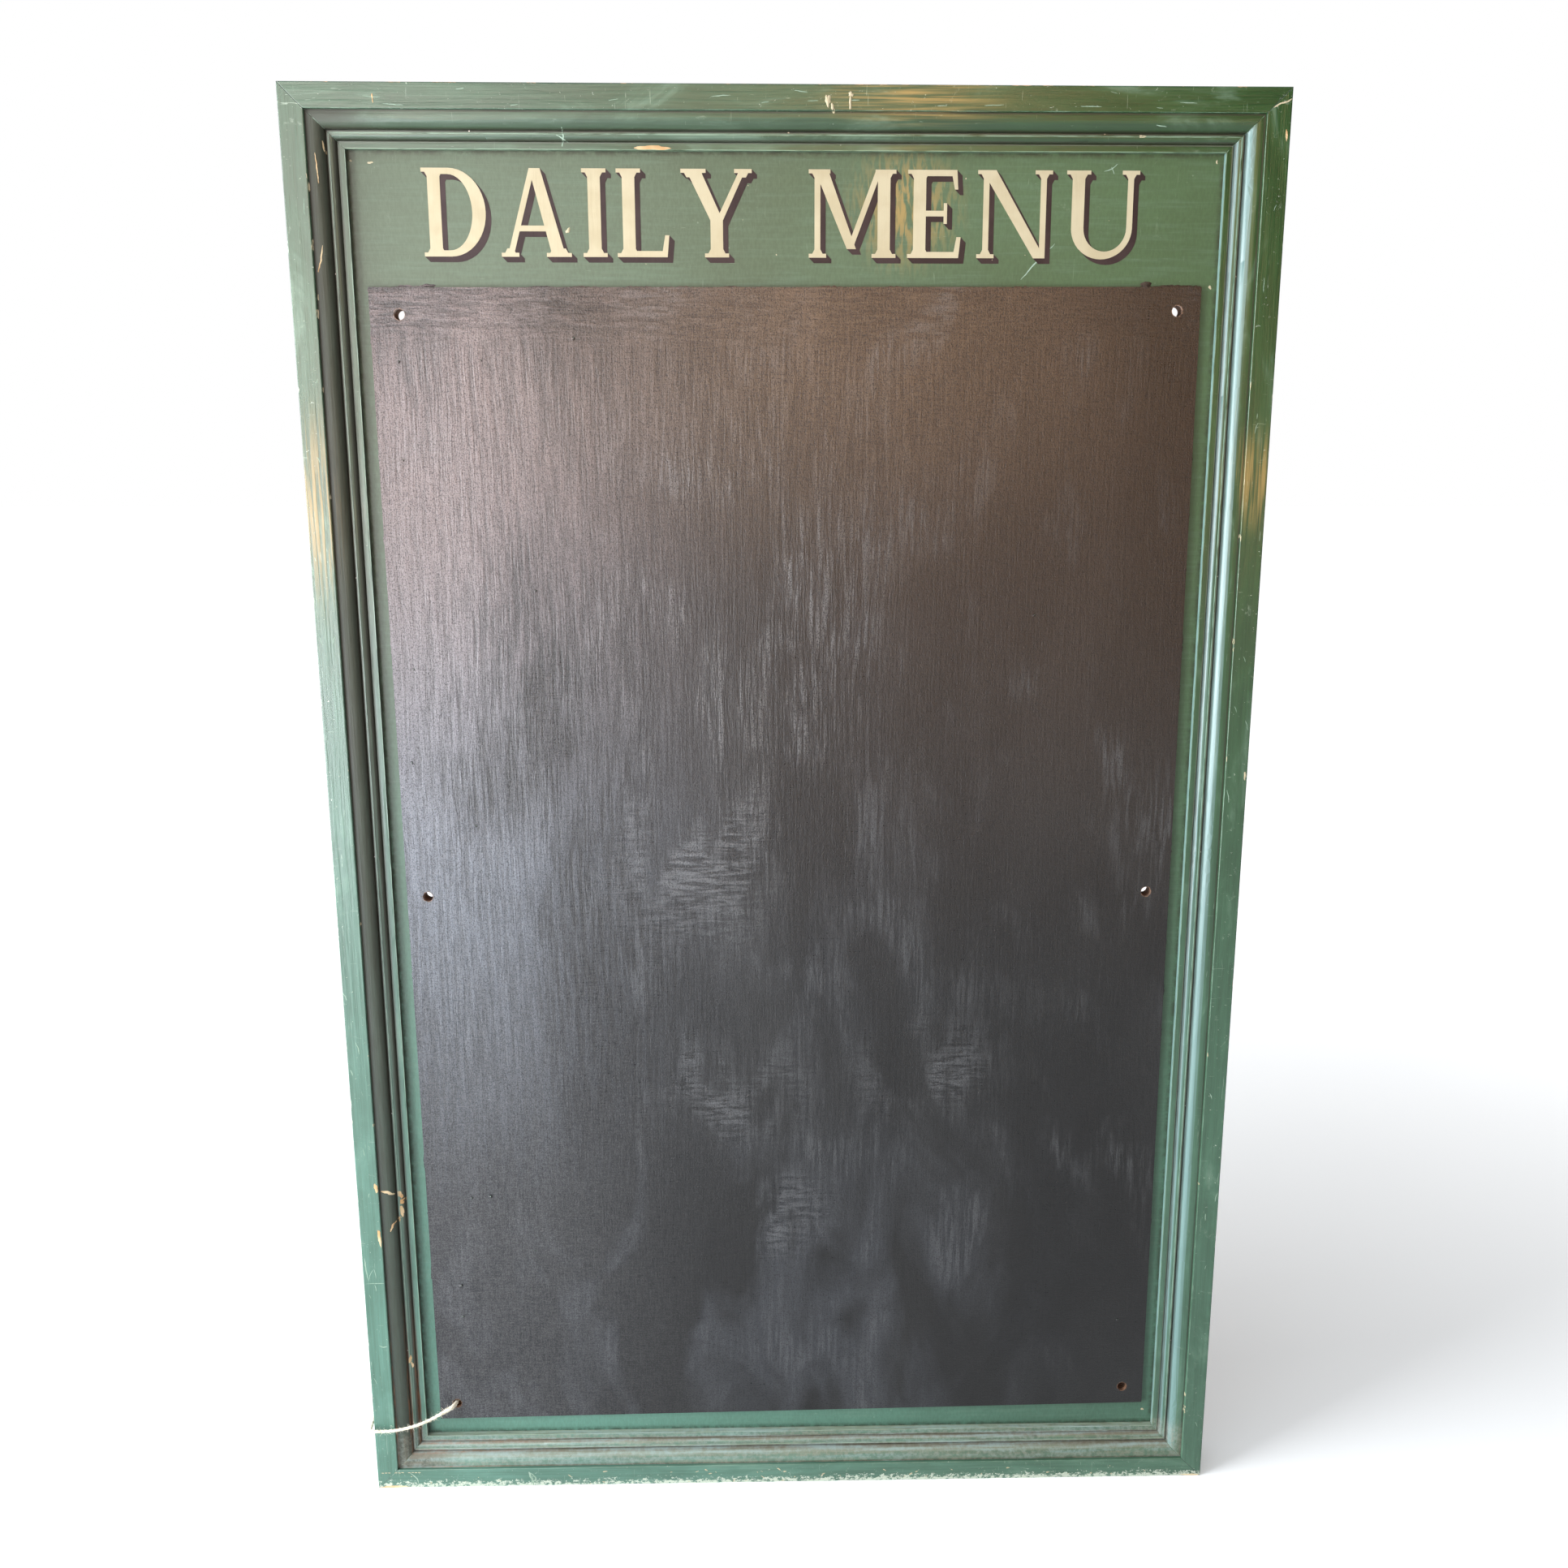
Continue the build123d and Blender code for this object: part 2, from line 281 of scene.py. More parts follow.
def timber(m, axis):
    """Bare softwood: its colour and its relief."""
    bands = m.noise(along(axis, 190.0, 3.0), 3.0, 3.1, 0.4)
    fibres = m.noise(along(axis, 1500.0, 30.0), 2.0, 7.7)
    colour = m.mix(bands.step(0.35, 0.68), rgb(0.62, 0.42, 0.22), rgb(0.36, 0.20, 0.09))
    colour = m.mix(fibres.step(0.5, 0.75) * 0.45, colour, rgb(0.22, 0.12, 0.06))
    stains = m.noise(14.0, 3.0, 5.2)
    colour = m.mix(stains.step(0.5, 0.72) * 0.5, colour, rgb(0.20, 0.14, 0.09))
    return colour, fibres * 0.00012 + bands * 0.0001


# The green paint towards each corner of the board: top right, top left, bottom right, bottom left. Over the
# paint's own bluer tone low down it holds painted light and shade, lighter at the lower left and darker at the
# top right
FRAME_GREENS_AS_LIT = (
    rgb(0.011, 0.052, 0.010), rgb(0.048, 0.092, 0.056), rgb(0.054, 0.128, 0.080), rgb(0.082, 0.184, 0.140),
)
PANEL_GREENS_AS_LIT = (
    rgb(0.054, 0.098, 0.042), rgb(0.082, 0.108, 0.070), rgb(0.056, 0.126, 0.084), rgb(0.084, 0.192, 0.146),
)
GREEN_PALE = rgb(0.150, 0.225, 0.165)
MINT = rgb(0.300, 0.430, 0.320)
SEA_GREEN_REFLECTION = rgb(0.150, 0.245, 0.245)
OLD_PRIMER = rgb(0.50, 0.54, 0.44)
SCUFF = rgb(0.45, 0.52, 0.42)
LAMP_GOLD = rgb(0.36, 0.215, 0.065)
WORN_WOOD = rgb(0.42, 0.25, 0.12)
# Dark grime, also used as painted shade in the quirks and along the moulding's foot
GRIME_AND_SHADE = rgb(0.016, 0.012, 0.006)
RUST = rgb(0.17, 0.07, 0.03)
DUST_BROWN, DUST_GREY = rgb(0.27, 0.21, 0.15), rgb(0.27, 0.33, 0.31)


def spots(m, places, edge):
    """The nearest of several places (x, z, reach x, reach z): 1 at its middle, 0 at edge times its reach."""
    shown = None
    for x, z, reach_x, reach_z in places:
        near = nearness((m.x - x) * (1.0 / reach_x), (m.z - z) * (1.0 / reach_z), edge)
        shown = near if shown is None else shown.most(near)
    return shown


def lit_unevenly(m, top_right, top_left, bottom_right, bottom_left):
    """Paint with painted light and shade: its colour towards each corner of the board, lighter at the lower
    left and darker at the top right.
    """
    left = m.x.fall(-0.25, 0.35)
    low = m.z.fall(0.15, 0.95)
    return m.mix(low, m.mix(left, top_right, top_left), m.mix(left, bottom_right, bottom_left))


def painted_lamp_reflection(m, colour, strokes):
    """Painted reflection of warm lamps: gold on the brush strokes in a few places."""
    return m.mix(spots(m, LAMP_REFLECTION_PLACES, 1.2) * strokes * 0.62, colour, LAMP_GOLD)


def brushed_green(m, axis):
    """Green gloss paint laid on with a brush: its colour, relief and roughness."""
    strokes = m.noise(along(axis, 560.0, 14.0), 3.0, 1.3, 0.35)
    wide = m.noise(along(axis, 110.0, 9.0), 3.0, 4.4, 0.5)
    clouds = m.noise(along(axis, 34.0, 11.0), 5.0, 2.2, 0.8, 0.62)
    # Painted light and shade: the green is lighter at the lower left and darker at the top right
    green = lit_unevenly(m, *FRAME_GREENS_AS_LIT)
    deep = m.mix(1.0, green, rgb(0.58, 0.60, 0.56), "MULTIPLY")
    colour = m.mix(strokes.step(0.30, 0.70) * 0.45 + clouds.step(0.34, 0.66) * 0.55, deep, green)
    colour = m.mix(clouds.step(0.52, 0.70) * wide.step(0.35, 0.65) * 0.45, colour, GREEN_PALE)
    # Painted reflection of warm lamps, in gold, in a few places
    colour = painted_lamp_reflection(m, colour, strokes.step(0.40, 0.62))
    height = strokes * 0.0002 + wide * 0.0003 + clouds * 0.0004
    roughness = clouds * 0.16 + strokes * 0.08 + 0.2
    return colour, height, roughness


def scuffed(m, colour, amount):
    """Pale rubs, fine scratches and specks of old paint over a colour."""
    rub = m.noise(60.0, 6.0, 8.3, 0.6, 0.75).step(0.62, 0.74)
    scratch = m.noise((900.0, 300.0, 40.0), 1.0, 6.1, 1.6).step(0.75, 0.79)
    cross = m.noise((55.0, 300.0, 800.0), 1.0, 9.7, 1.6).step(0.76, 0.80)
    specks = m.specks(90.0, 0.07) * m.noise(21.0, 2.0, 3.0).step(0.58, 0.66)
    marks = (rub * 0.30).most(scratch * 0.4).most(cross * 0.4).most(specks * 0.6)
    return m.mix(marks * amount, colour, SCUFF)


def mitre_line(m, width):
    """1 along the four corners' mitre lines."""
    edge_x, edge_z = edge_distances(m)
    waver = m.noise(90.0, 2.0, 1.9) * 0.0008 - 0.0004
    return abs(edge_x - edge_z + waver).fall(width * 0.4, width)


def frame_paint(axis):
    m = Material("frame_paint_" + axis.lower())
    colour, height, roughness = brushed_green(m, axis)
    colour = scuffed(m, colour, 1.0)
    edge_x, edge_z = edge_distances(m)
    inward = edge_x.least(edge_z)
    backward = m.y - FRONT_Y
    chipping = m.noise(70.0, 5.0, 2.7, 0.0, 0.7)
    outer = nearness(inward, backward, 0.0032) + chipping
    inner = nearness(inward - RAIL_FACE, backward, 0.0012) + chipping
    top_edge = m.z.step(HEIGHT - 0.003, HEIGHT - 0.001) * 0.1
    worn = (outer + top_edge).step(1.60, 1.66)
    primer = outer.step(1.54, 1.60).most(inner.step(1.52, 1.58))
    # A painted highlight: a pale green line along the rail's inner arris
    colour = m.mix(inner.step(1.2, 1.4) * 0.6, colour, GREEN_PALE)
    flaking = m.noise((260.0, 260.0, 420.0), 5.0, 4.9, 0.3, 0.75)
    low = (m.z.fall(0.0, 0.012) * 0.22 + flaking).step(0.66, 0.70)
    colour = m.mix(primer.most(low * 0.8), colour, OLD_PRIMER)
    colour = m.mix(worn, colour, WORN_WOOD)
    crack = mitre_line(m, 0.0006)
    colour = m.mix(crack * 0.6, colour, m.mix(chipping.step(0.56, 0.64), rgb(0.010, 0.022, 0.014), GREEN_PALE))
    # Bare wood behind, where the paint laps over the back edge, and on the inner face behind the panel
    wood, grain = timber(m, axis)
    overlap = m.noise(along(axis, 60.0, 25.0), 4.0, 5.5) * 0.014
    behind = m.y.step(BACK_Y - 0.0008, BACK_Y - 0.0003) * (inward - overlap).step(0.0, 0.0012)
    inner_face = inward.step(RAIL_FACE - 0.0012, RAIL_FACE - 0.0006)
    hidden = m.y.step(PANEL_BACK_Y, PANEL_BACK_Y + 0.0006) * inner_face
    bare = behind.most(hidden)
    colour = m.mix(bare, colour, wood)
    height = height - worn * 0.00012 - primer * 0.00006 - low * 0.00006 - crack * 0.00015 + grain * bare
    return m.surface(colour, roughness + worn * 0.3 + bare * 0.35, height, **{"IOR": 1.5})


def lines(across, places, core=0.5):
    """1 along lines at (distance across the moulding, reach)."""
    shown = None
    for place, reach in places:
        near = abs(across - place).fall(reach * core, reach)
        shown = near if shown is None else shown.most(near)
    return shown


def moulding_paint(axis):
    m = Material("moulding_paint_" + axis.lower())
    colour, height, roughness = brushed_green(m, axis)
    colour = scuffed(m, colour, 0.45)
    edge_x, edge_z = edge_distances(m)
    across = edge_x.least(edge_z) - RAIL_FACE
    broken = m.noise(along(axis, 500.0, 60.0), 4.0, 6.6)
    quirks = lines(across, ((0.0, 0.0020), (0.0135, 0.0020), (0.0203, 0.0019)), 0.4)
    # Painted highlights: broken mint lines along the fillets' edges and the moulding's inner edge
    arris_highlights = lines(across, ((0.0146, 0.0005), (0.0155, 0.0005), (0.0211, 0.0005)), 0.2)
    arris_highlights = arris_highlights.most(lines(across, ((MOULD_W, 0.0007),), 2 / 7))
    colour = m.mix(arris_highlights * broken.step(0.3, 0.55) * 0.55, colour, MINT)

    # Painted light and shade: the sides that face away from the window are darkened, the left ovolo and what
    # faces down among them, and the sides that face the window get a painted sea-green reflection
    facing_x, facing_z = m.facing("X"), m.facing("Z")
    left_ovolo_shade = m.x.fall(-0.35, -0.30) * across.fall(0.0126, 0.0140)
    shaded = facing_x.step(0.0, 0.35).most(left_ovolo_shade)
    colour = m.mix(shaded * (broken * 0.25 + 0.70), colour, rgb(0.014, 0.014, 0.005))
    colour = m.mix(facing_z.fall(-0.45, -0.12) * 0.50, colour, rgb(0.016, 0.034, 0.010))
    colour = m.mix(facing_x.fall(-0.55, -0.08) * 0.68, colour, SEA_GREEN_REFLECTION)

    # Painted shade with some dirt: the quirks darkened nearly to black
    quirk_dirt_and_shade = quirks * (broken * 0.8 + 0.3)
    colour = m.mix(quirk_dirt_and_shade * 0.95, colour, GRIME_AND_SHADE)
    rusty = nearness(m.x + HALF_W - 0.044, m.z - 0.046, 0.16)
    colour = m.mix(quirks * rusty * broken.step(0.35, 0.6), colour, RUST)

    # Dust along the foot, on what faces up
    ledges = lines(across, ((0.0145, 0.0012), (0.0210, 0.0012), (MOULD_W, 0.0010)))
    ledges = ledges.most(across.fall(0.0, 0.0036))
    settled = m.noise(220.0, 5.0, 9.1, 0.0, 0.7)
    film = settled * 0.4 + m.noise(along(axis, 330.0, 12.0), 4.0, 2.1) * 0.6
    on_ledges = ledges * film.step(0.34, 0.62) * 0.7
    on_top = facing_z.step(0.15, 0.6) * (film.step(0.30, 0.70) * 0.45 + 0.26)
    everywhere = settled.step(0.36, 0.62) * 0.34 + 0.08
    dust = m.z.fall(0.045, 0.06) * on_ledges.most(on_top).most(everywhere)
    colour = m.mix(dust, colour, m.mix(film.step(0.40, 0.62), DUST_BROWN, DUST_GREY))

    crack = mitre_line(m, 0.0005)
    colour = m.mix(crack * 0.45, colour, m.mix(broken.step(0.45, 0.55), GRIME_AND_SHADE, MINT))
    roughness = roughness + dust * 0.45 + quirk_dirt_and_shade * 0.2 + shaded * 0.25
    return m.surface(colour, roughness, height - crack * 0.0002, **{"IOR": 1.5})


def hole_distance(m):
    """Distance from the axis of the nearest screw hole."""
    nearest = None
    for x, z in HOLES:
        right = m.x - x
        up = m.z - z
        distance = (right * right + up * up).root()
        nearest = distance if nearest is None else nearest.least(distance)
    return nearest


def panel_paint():
    m = Material("panel_paint")
    fine = m.noise((700.0, 700.0, 260.0), 3.0, 1.1)
    brush = m.noise((26.0, 60.0, 420.0), 3.0, 3.3, 0.2)
    clouds = m.noise((6.0, 6.0, 10.0), 3.0, 2.9)
    # Painted light and shade: the green is lighter at the lower left and darker at the top right
    green = lit_unevenly(m, *PANEL_GREENS_AS_LIT)
    dull = m.mix(1.0, green, rgb(0.76, 0.74, 0.72), "MULTIPLY")
    colour = m.mix(clouds.step(0.35, 0.7) * 0.6 + fine.step(0.35, 0.65) * 0.4, dull, green)
    colour = m.mix(brush.step(0.45, 0.75) * 0.10, colour, GREEN_PALE)
    # Painted reflection of warm lamps, in gold, in a few places
    colour = painted_lamp_reflection(m, colour, m.noise((300.0, 60.0, 60.0), 4.0, 2.7, 0.6).step(0.42, 0.58))
    colour = scuffed(m, colour, 0.25)
    edge_x, edge_z = edge_distances(m)
    inward = edge_x.least(edge_z) - RAIL_FACE - MOULD_W
    # Painted shadow: the panel darkened in broken patches along the moulding's foot
    settled = m.noise(130.0, 4.0, 4.1, 0.0, 0.65)
    moulding_shadow = inward.fall(0.0, 0.005) * settled.step(0.3, 0.62)
    colour = m.mix(moulding_shadow * 0.7, colour, GRIME_AND_SHADE)
    wood, grain = timber(m, "Z")
    bands = m.noise(5.0, 4.0, 8.8, 1.5).step(0.35, 0.7)
    wood = m.mix(0.55, wood, m.mix(bands, rgb(0.50, 0.34, 0.19), rgb(0.34, 0.21, 0.11)))
    bare = m.y.step(PANEL_BACK_Y - 0.0008, PANEL_BACK_Y - 0.0003)
    bore = hole_distance(m).fall(HOLE_R + 0.0001, HOLE_R + 0.0007)
    plies = m.noise((8.0, 1400.0, 8.0), 1.0, 2.1).step(0.42, 0.58)
    raw = m.mix(plies, rgb(0.26, 0.14, 0.08), rgb(0.10, 0.045, 0.022))
    colour = m.mix(bore, m.mix(bare, colour, wood), raw)
    bare = bare.most(bore)
    height = fine * 0.00006 + brush * 0.00012 + grain * bare
    roughness = clouds * 0.14 + brush * 0.1 + 0.32 + bare * 0.4
    return m.surface(colour, roughness, height, **{"IOR": 1.5, "Specular IOR Level": 0.3})


BLACK_DEEP, BLACK_DULL = rgb(0.004, 0.004, 0.0045), rgb(0.012, 0.012, 0.0125)
BLACK_PIT = rgb(0.003, 0.003, 0.003)
# The chalk colours also carry a painted sheen of window light
CHALK_AND_SHEEN_BLUE, CHALK_AND_SHEEN_PINK = rgb(0.135, 0.145, 0.170), rgb(0.165, 0.122, 0.116)
# Colours of a painted warm reflection
WARM_REFLECTION_BROWN, WARM_SHEEN_TAWNY = rgb(0.040, 0.016, 0.004), rgb(0.185, 0.110, 0.062)
DRY_STROKE, WIPED, SPECKLE = rgb(0.19, 0.175, 0.170), rgb(0.16, 0.16, 0.165), rgb(0.26, 0.245, 0.24)
HARDBOARD = rgb(0.16, 0.085, 0.05)


def chalkboard_paint():
    """Black paint brushed on thickly: heavy strokes at the upper left, a fine cross weave lower down."""
    m = Material("chalkboard_paint")
    sway = m.noise((6.0, 6.0, 3.0), 2.0, 4.0) * 0.018
    straight = m.position
    m.position = m.value("ShaderNodeCombineXYZ", {0: m.x + sway, 1: m.y, 2: m.z})
    upright = m.noise((360.0, 60.0, 24.0), 5.0, 1.7, 0.35, 0.62)
    ropes = m.noise((90.0, 40.0, 26.0), 3.0, 5.9, 0.9)
    m.position = straight
    level = m.noise((40.0, 60.0, 280.0), 4.0, 2.4, 0.7, 0.6)
    weave = m.noise((900.0, 100.0, 90.0), 2.0, 3.0) + m.noise((90.0, 100.0, 900.0), 2.0, 6.0)
    grain = m.noise(1000.0, 3.0, 9.0, 0.0, 0.65)
    pits = m.noise(330.0, 4.0, 7.2, 0.4, 0.7)
    clouds = m.noise((7.0, 7.0, 3.2), 4.0, 3.8, 0.5)
    patches = m.noise((15.0, 15.0, 7.0), 4.0, 6.4, 0.9)

    # Where things are on the sheet
    left = m.x.fall(-0.33, 0.0)
    middle = nearness((m.x + 0.05) * 5.5, (m.z - 0.80) * 3.2, 1.0)
    upper = nearness((m.x - 0.02) * 2.7, (m.z - 1.07) * 3.6, 1.0)
    rubbed = spots(m, RUBBED, 1.3) * patches.step(0.42, 0.60)
    sideways = rubbed.most(m.z.step(1.015, 1.055))
    strokes = upright * sideways.invert() + level * sideways
    thick = left.most(middle * 0.9) * m.z.step(0.25, 0.75) + m.z.step(0.95, 1.07) * 0.25

    # Chalk worked into the paint, with a painted sheen of window light over it, bluish low and pinkish high,
    # most of it at the left
    colour = m.mix(clouds.step(0.35, 0.7), BLACK_DEEP, BLACK_DULL)
    chalky = clouds.step(0.3, 0.66) * 0.78 + strokes.step(0.36, 0.66) * 0.62
    chalk_and_sheen = (left * m.z.step(0.15, 0.80) * chalky).most(left * 0.10)
    chalk_and_sheen = chalk_and_sheen.most(patches.step(0.40, 0.70) * m.x.fall(0.02, 0.30) * 0.05)
    chalk_and_sheen = chalk_and_sheen.most(patches.step(0.38, 0.62) * m.x.fall(0.05, 0.33) * m.z.fall(0.18, 0.45) * 0.16)
    colour = m.mix(chalk_and_sheen, colour, m.mix(m.z.step(0.55, 0.95), CHALK_AND_SHEEN_BLUE, CHALK_AND_SHEEN_PINK))

    # Painted warm reflection: brown towards the top and right, and tawny near the top; then dry strokes and
    # wiped places
    warm_reflection = m.x.step(-0.30, 0.20) * m.z.step(0.45, 1.02)
    colour = m.mix(warm_reflection * (clouds * 0.4 + 0.4), colour, WARM_REFLECTION_BROWN)
    woven = (weave * 0.5).step(0.40, 0.60)
    broken = strokes.step(0.34, 0.64) * 0.14 + woven * 0.14 + clouds * 0.40
    colour = m.mix(upper * broken, colour, WARM_SHEEN_TAWNY)
    dry = middle * strokes.step(0.48, 0.62) * patches.step(0.40, 0.58) * grain.step(0.38, 0.56)
    colour = m.mix(dry * 0.58, colour, DRY_STROKE)
    worked = patches.step(0.50, 0.72) * strokes.step(0.42, 0.62)
    wiped = (rubbed * strokes.step(0.40, 0.60)).most(worked * 0.50)
    colour = m.mix(wiped * 0.42, colour, WIPED)

    # Grain
    colour = m.mix(grain.fall(0.36, 0.50) * 0.7, colour, BLACK_PIT)
    speckle = woven * 0.35 + grain.step(0.50, 0.64) * 0.65
    colour = m.mix(speckle * (left * 0.19 + 0.015), colour, SPECKLE)
    ridges = abs(ropes - 0.5).fall(0.0, 0.08) * patches.step(0.42, 0.60) * (middle * 0.8 + thick * 0.2)
    heavy = thick * (patches.step(0.34, 0.60) * 0.75 + 0.25)
    height = strokes * (heavy * 0.0008 + 0.00026) + ridges * 0.0001
    height = height + weave * 0.00014 + grain * 0.00034 + pits * 0.00016
    roughness = clouds * 0.12 + weave * 0.05 + 0.19 - rubbed * 0.04

    # The holes' walls, and chips round their rims
    bore = hole_distance(m).fall(HOLE_R + 0.0002, HOLE_R + 0.0008)
    chipped = bore * m.noise(700.0, 3.0, 7.0).step(0.4, 0.55)
    inside = m.y.step(SHEET_FRONT_Y + 0.0002, SHEET_FRONT_Y + 0.0006) * bore
    colour = m.mix(chipped.most(inside), colour, HARDBOARD)
    return m.surface(colour, roughness, height, **{"IOR": 1.5, "Specular IOR Level": 0.31})


def bare_softwood(axis):
    m = Material("bare_softwood_" + axis.lower())
    colour, height = timber(m, axis)
    return m.surface(colour, height * 900.0 + 0.55, height)


def steel(name, colour, dull):
    m = Material(name)
    spots = m.noise(900.0, 4.0, 1.0)
    drawn = m.noise((2400.0, 2400.0, 200.0), 2.0, 2.0)
    mixed = m.mix(spots.step(0.45, 0.7), colour, dull)
    return m.surface(mixed, spots * 0.25 + 0.28, drawn * 0.00002, **{"Metallic": 1.0})


def twine_fibre():
    m = Material("twine")
    fine = m.noise(2600.0, 3.0, 1.0, 1.0)
    tone = m.noise(260.0, 3.0, 2.0)
    colour = m.mix(tone.step(0.35, 0.7), rgb(0.84, 0.78, 0.63), rgb(0.68, 0.58, 0.42))
    colour = m.mix(fine.step(0.50, 0.75) * 0.5, colour, rgb(0.93, 0.90, 0.80))
    return m.surface(colour, tone * 0.1 + 0.8, fine * 0.00025, **{"Sheen Weight": 0.3})


def sign_paint(name, first, second, gloss):
    """Signwriter's enamel with faint strokes."""
    m = Material(name)
    strokes = m.noise((420.0, 420.0, 60.0), 3.0, 1.0, 0.3)
    tone = m.noise(40.0, 3.0, 2.0)
    colour = m.mix(tone.step(0.35, 0.7), first, second)
    constants = {"IOR": 1.5, "Specular IOR Level": 0.2}
    return m.surface(colour, strokes * 0.15 + gloss, strokes * 0.00012, **constants)


def use(material, *names):
    for name in names:
        slots = nodes[name].data.materials
        slots.clear()
        slots.append(material)


# ---- pieces


def add_piece(name, vertices, faces, material, slot, smooth=False):
    mesh = bpy.data.meshes.new(name)
    mesh.from_pydata(vertices, [], faces)
    mesh.materials.append(material)
    if smooth:
        mesh.shade_smooth()
    piece = bpy.data.objects.new(name, mesh)
    scene.collection.objects.link(piece)
    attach(piece, "root")
    return piece


def join(*meshes):
    """Several (vertices, faces) pairs as one."""
    vertices, faces = [], []
    for more_vertices, more_faces in meshes:
        start = len(vertices)
        vertices += more_vertices
        faces += [[start + i for i in face] for face in more_faces]
    return vertices, faces


def spline_line(points):
    """The line of the smooth spline whose control points these are."""
    curve = bpy.data.curves.new("line", "CURVE")
    curve.dimensions = "3D"
    spline = curve.splines.new("NURBS")
    spline.points.add(len(points) - 1)
    for knot, point in zip(spline.points, points):
        knot.co = (*point, 1.0)
    spline.order_u = 3
    spline.use_endpoint_u = True
    holder = bpy.data.objects.new("line", curve)
    mesh = bpy.data.meshes.new_from_object(holder)
    line = [vertex.co.copy() for vertex in mesh.vertices]
    bpy.data.meshes.remove(mesh)
    bpy.data.objects.remove(holder)
    bpy.data.curves.remove(curve)
    return line


def even(line, gap):
    """The line again, with points an even gap apart."""
    points = [line[0].copy()]
    left = gap
    for start, end in zip(line, line[1:]):
        run = end - start
        done = 0.0
        while run.length - done >= left:
            done += left
            points.append(start + run.normalized() * done)
            left = gap
        left -= run.length - done
    if (points[-1] - line[-1]).length > gap * 0.3:
        points.append(line[-1].copy())
    return points


def carried_frames(line):
    """A pair of axes square to the line at each point, which turn with it and no more."""
    side = Vector((0.13, 0.31, 0.94))
    frames = []
    for before, after in zip(line[:1] + line, line[1:] + line[-1:]):
        ahead = (after - before).normalized()
        side = (side - ahead * side.dot(ahead)).normalized()
        frames.append((ahead, side, ahead.cross(side)))
    return frames


def tube(line, radii, sides=8):
    """A closed tube round the line."""
    vertices, faces = [], []
    for here, (_, side, other), radius in zip(line, carried_frames(line), radii):
        for k in range(sides):
            turn = 2 * math.pi * k / sides
            vertices.append(here + (side * math.cos(turn) + other * math.sin(turn)) * radius)
    last = (len(line) - 1) * sides
    for ring in range(0, last, sides):
        for k in range(sides):
            a, b = ring + k, ring + (k + 1) % sides
            faces.append((a, b, b + sides, a + sides))
    faces.append(tuple(reversed(range(sides))))
    faces.append(tuple(range(last, last + sides)))
    return vertices, faces


def strands(line, gap, swell, count=3, pitch=0.013):
    """Twisted strands that follow the line. swell(i) scales the twine's thickness at a point."""
    frames = carried_frames(line)
    made = []
    for k in range(count):
        path, radii = [], []
        for i, (here, (_, side, other)) in enumerate(zip(line, frames)):
            turn = 2 * math.pi * (k / count + i * gap / pitch)
            wave = 1.0 + 0.12 * noise.noise(here * 300.0 + Vector((k, 0, 0)))
            reach = TWINE_D * 0.225 * swell(i)
            path.append(here + (side * math.cos(turn) + other * math.sin(turn)) * reach)
            radii.append(TWINE_D * 0.285 * swell(i) * wave)
        made.append(tube(path, radii))
    return join(*made)


def hair(curve, start, way, length, radius, curl):
    """One loose fibre, as a tapered spline of a curve object."""
    spline = curve.splines.new("POLY")
    spline.points.add(5)
    point, heading = start.copy(), way.normalized()
    bend = Vector((rng.uniform(-1, 1), rng.uniform(-1, 1), rng.uniform(-1, 1))) * curl
    for i, knot in enumerate(spline.points):
        knot.co = (*point, 1.0)
        knot.radius = radius * (1.0 - 0.12 * i)
        heading = (heading + bend * 0.3).normalized()
        point = point + heading * length / 5


def make_twine(material):
    line = spline_line(TWINE_ROUTE)
    gap = 0.0006
    path = even(line, gap)

    def swell(i):
        from_hole = i * gap
        return 0.71 + 0.36 * max(0.0, 1.0 - abs(from_hole - 0.022) / 0.016)

    vertices, faces = strands(path, gap, swell)
    twine = add_piece("twine", vertices, faces, material, "twine", smooth=True)
    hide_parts("tie_twine")

    curve = bpy.data.curves.new("twine_fibres", "CURVE")
    curve.dimensions = "3D"
    curve.bevel_depth = 1.0
    curve.bevel_resolution = 1
    curve.use_fill_caps = True
    frames = carried_frames(path)
    for _ in range(560):
        i = rng.randrange(24, len(path) - 20)
        ahead, side, other = frames[i]
        turn = rng.uniform(0, 2 * math.pi)
        out = side * math.cos(turn) + other * math.sin(turn)
        lean = ahead * rng.choice((-1, 1)) * rng.uniform(0.4, 1.6)
        start = path[i] + out * TWINE_D * 0.34
        hair(curve, start, out + lean, rng.uniform(0.0014, 0.0046), rng.uniform(0.00004, 0.00009), 1.2)
    tufts = (
        (0.0285, (-0.1, -0.3, 1.0), 0.0065, 0.00026), (0.0300, (-0.2, -0.3, 1.0), 0.0050, 0.00022),
        (0.0240, (-1.0, -0.2, 0.30), 0.0045, 0.00036), (0.0230, (-1.0, -0.3, 0.5), 0.0050, 0.00030),
        (0.0215, (0.7, -0.2, -1.0), 0.0030, 0.00030), (0.0200, (0.5, -0.4, -0.9), 0.0026, 0.00026),
        (0.0330, (0.6, -0.2, -1.0), 0.0030, 0.00022), (0.0420, (0.2, -0.3, -1.0), 0.0026, 0.00018),
        (0.0560, (-0.4, -0.3, 1.0), 0.0046, 0.00018), (0.0600, (0.3, -0.3, -1.0), 0.0040, 0.00018),
        (0.0640, (0.1, -0.3, -1.0), 0.0036, 0.00016), (0.0860, (0.2, -0.3, 1.0), 0.0030, 0.00016),
    )
    for place, way, length, radius in tufts:
        start = path[round(place / gap)]
        hair(curve, start, Vector(way), length, radius, 0.35)
    curve.materials.append(material)
    fibres = bpy.data.objects.new("twine_fibres", curve)
    scene.collection.objects.link(fibres)
    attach(fibres, "root")

    knot = make_knot(material)


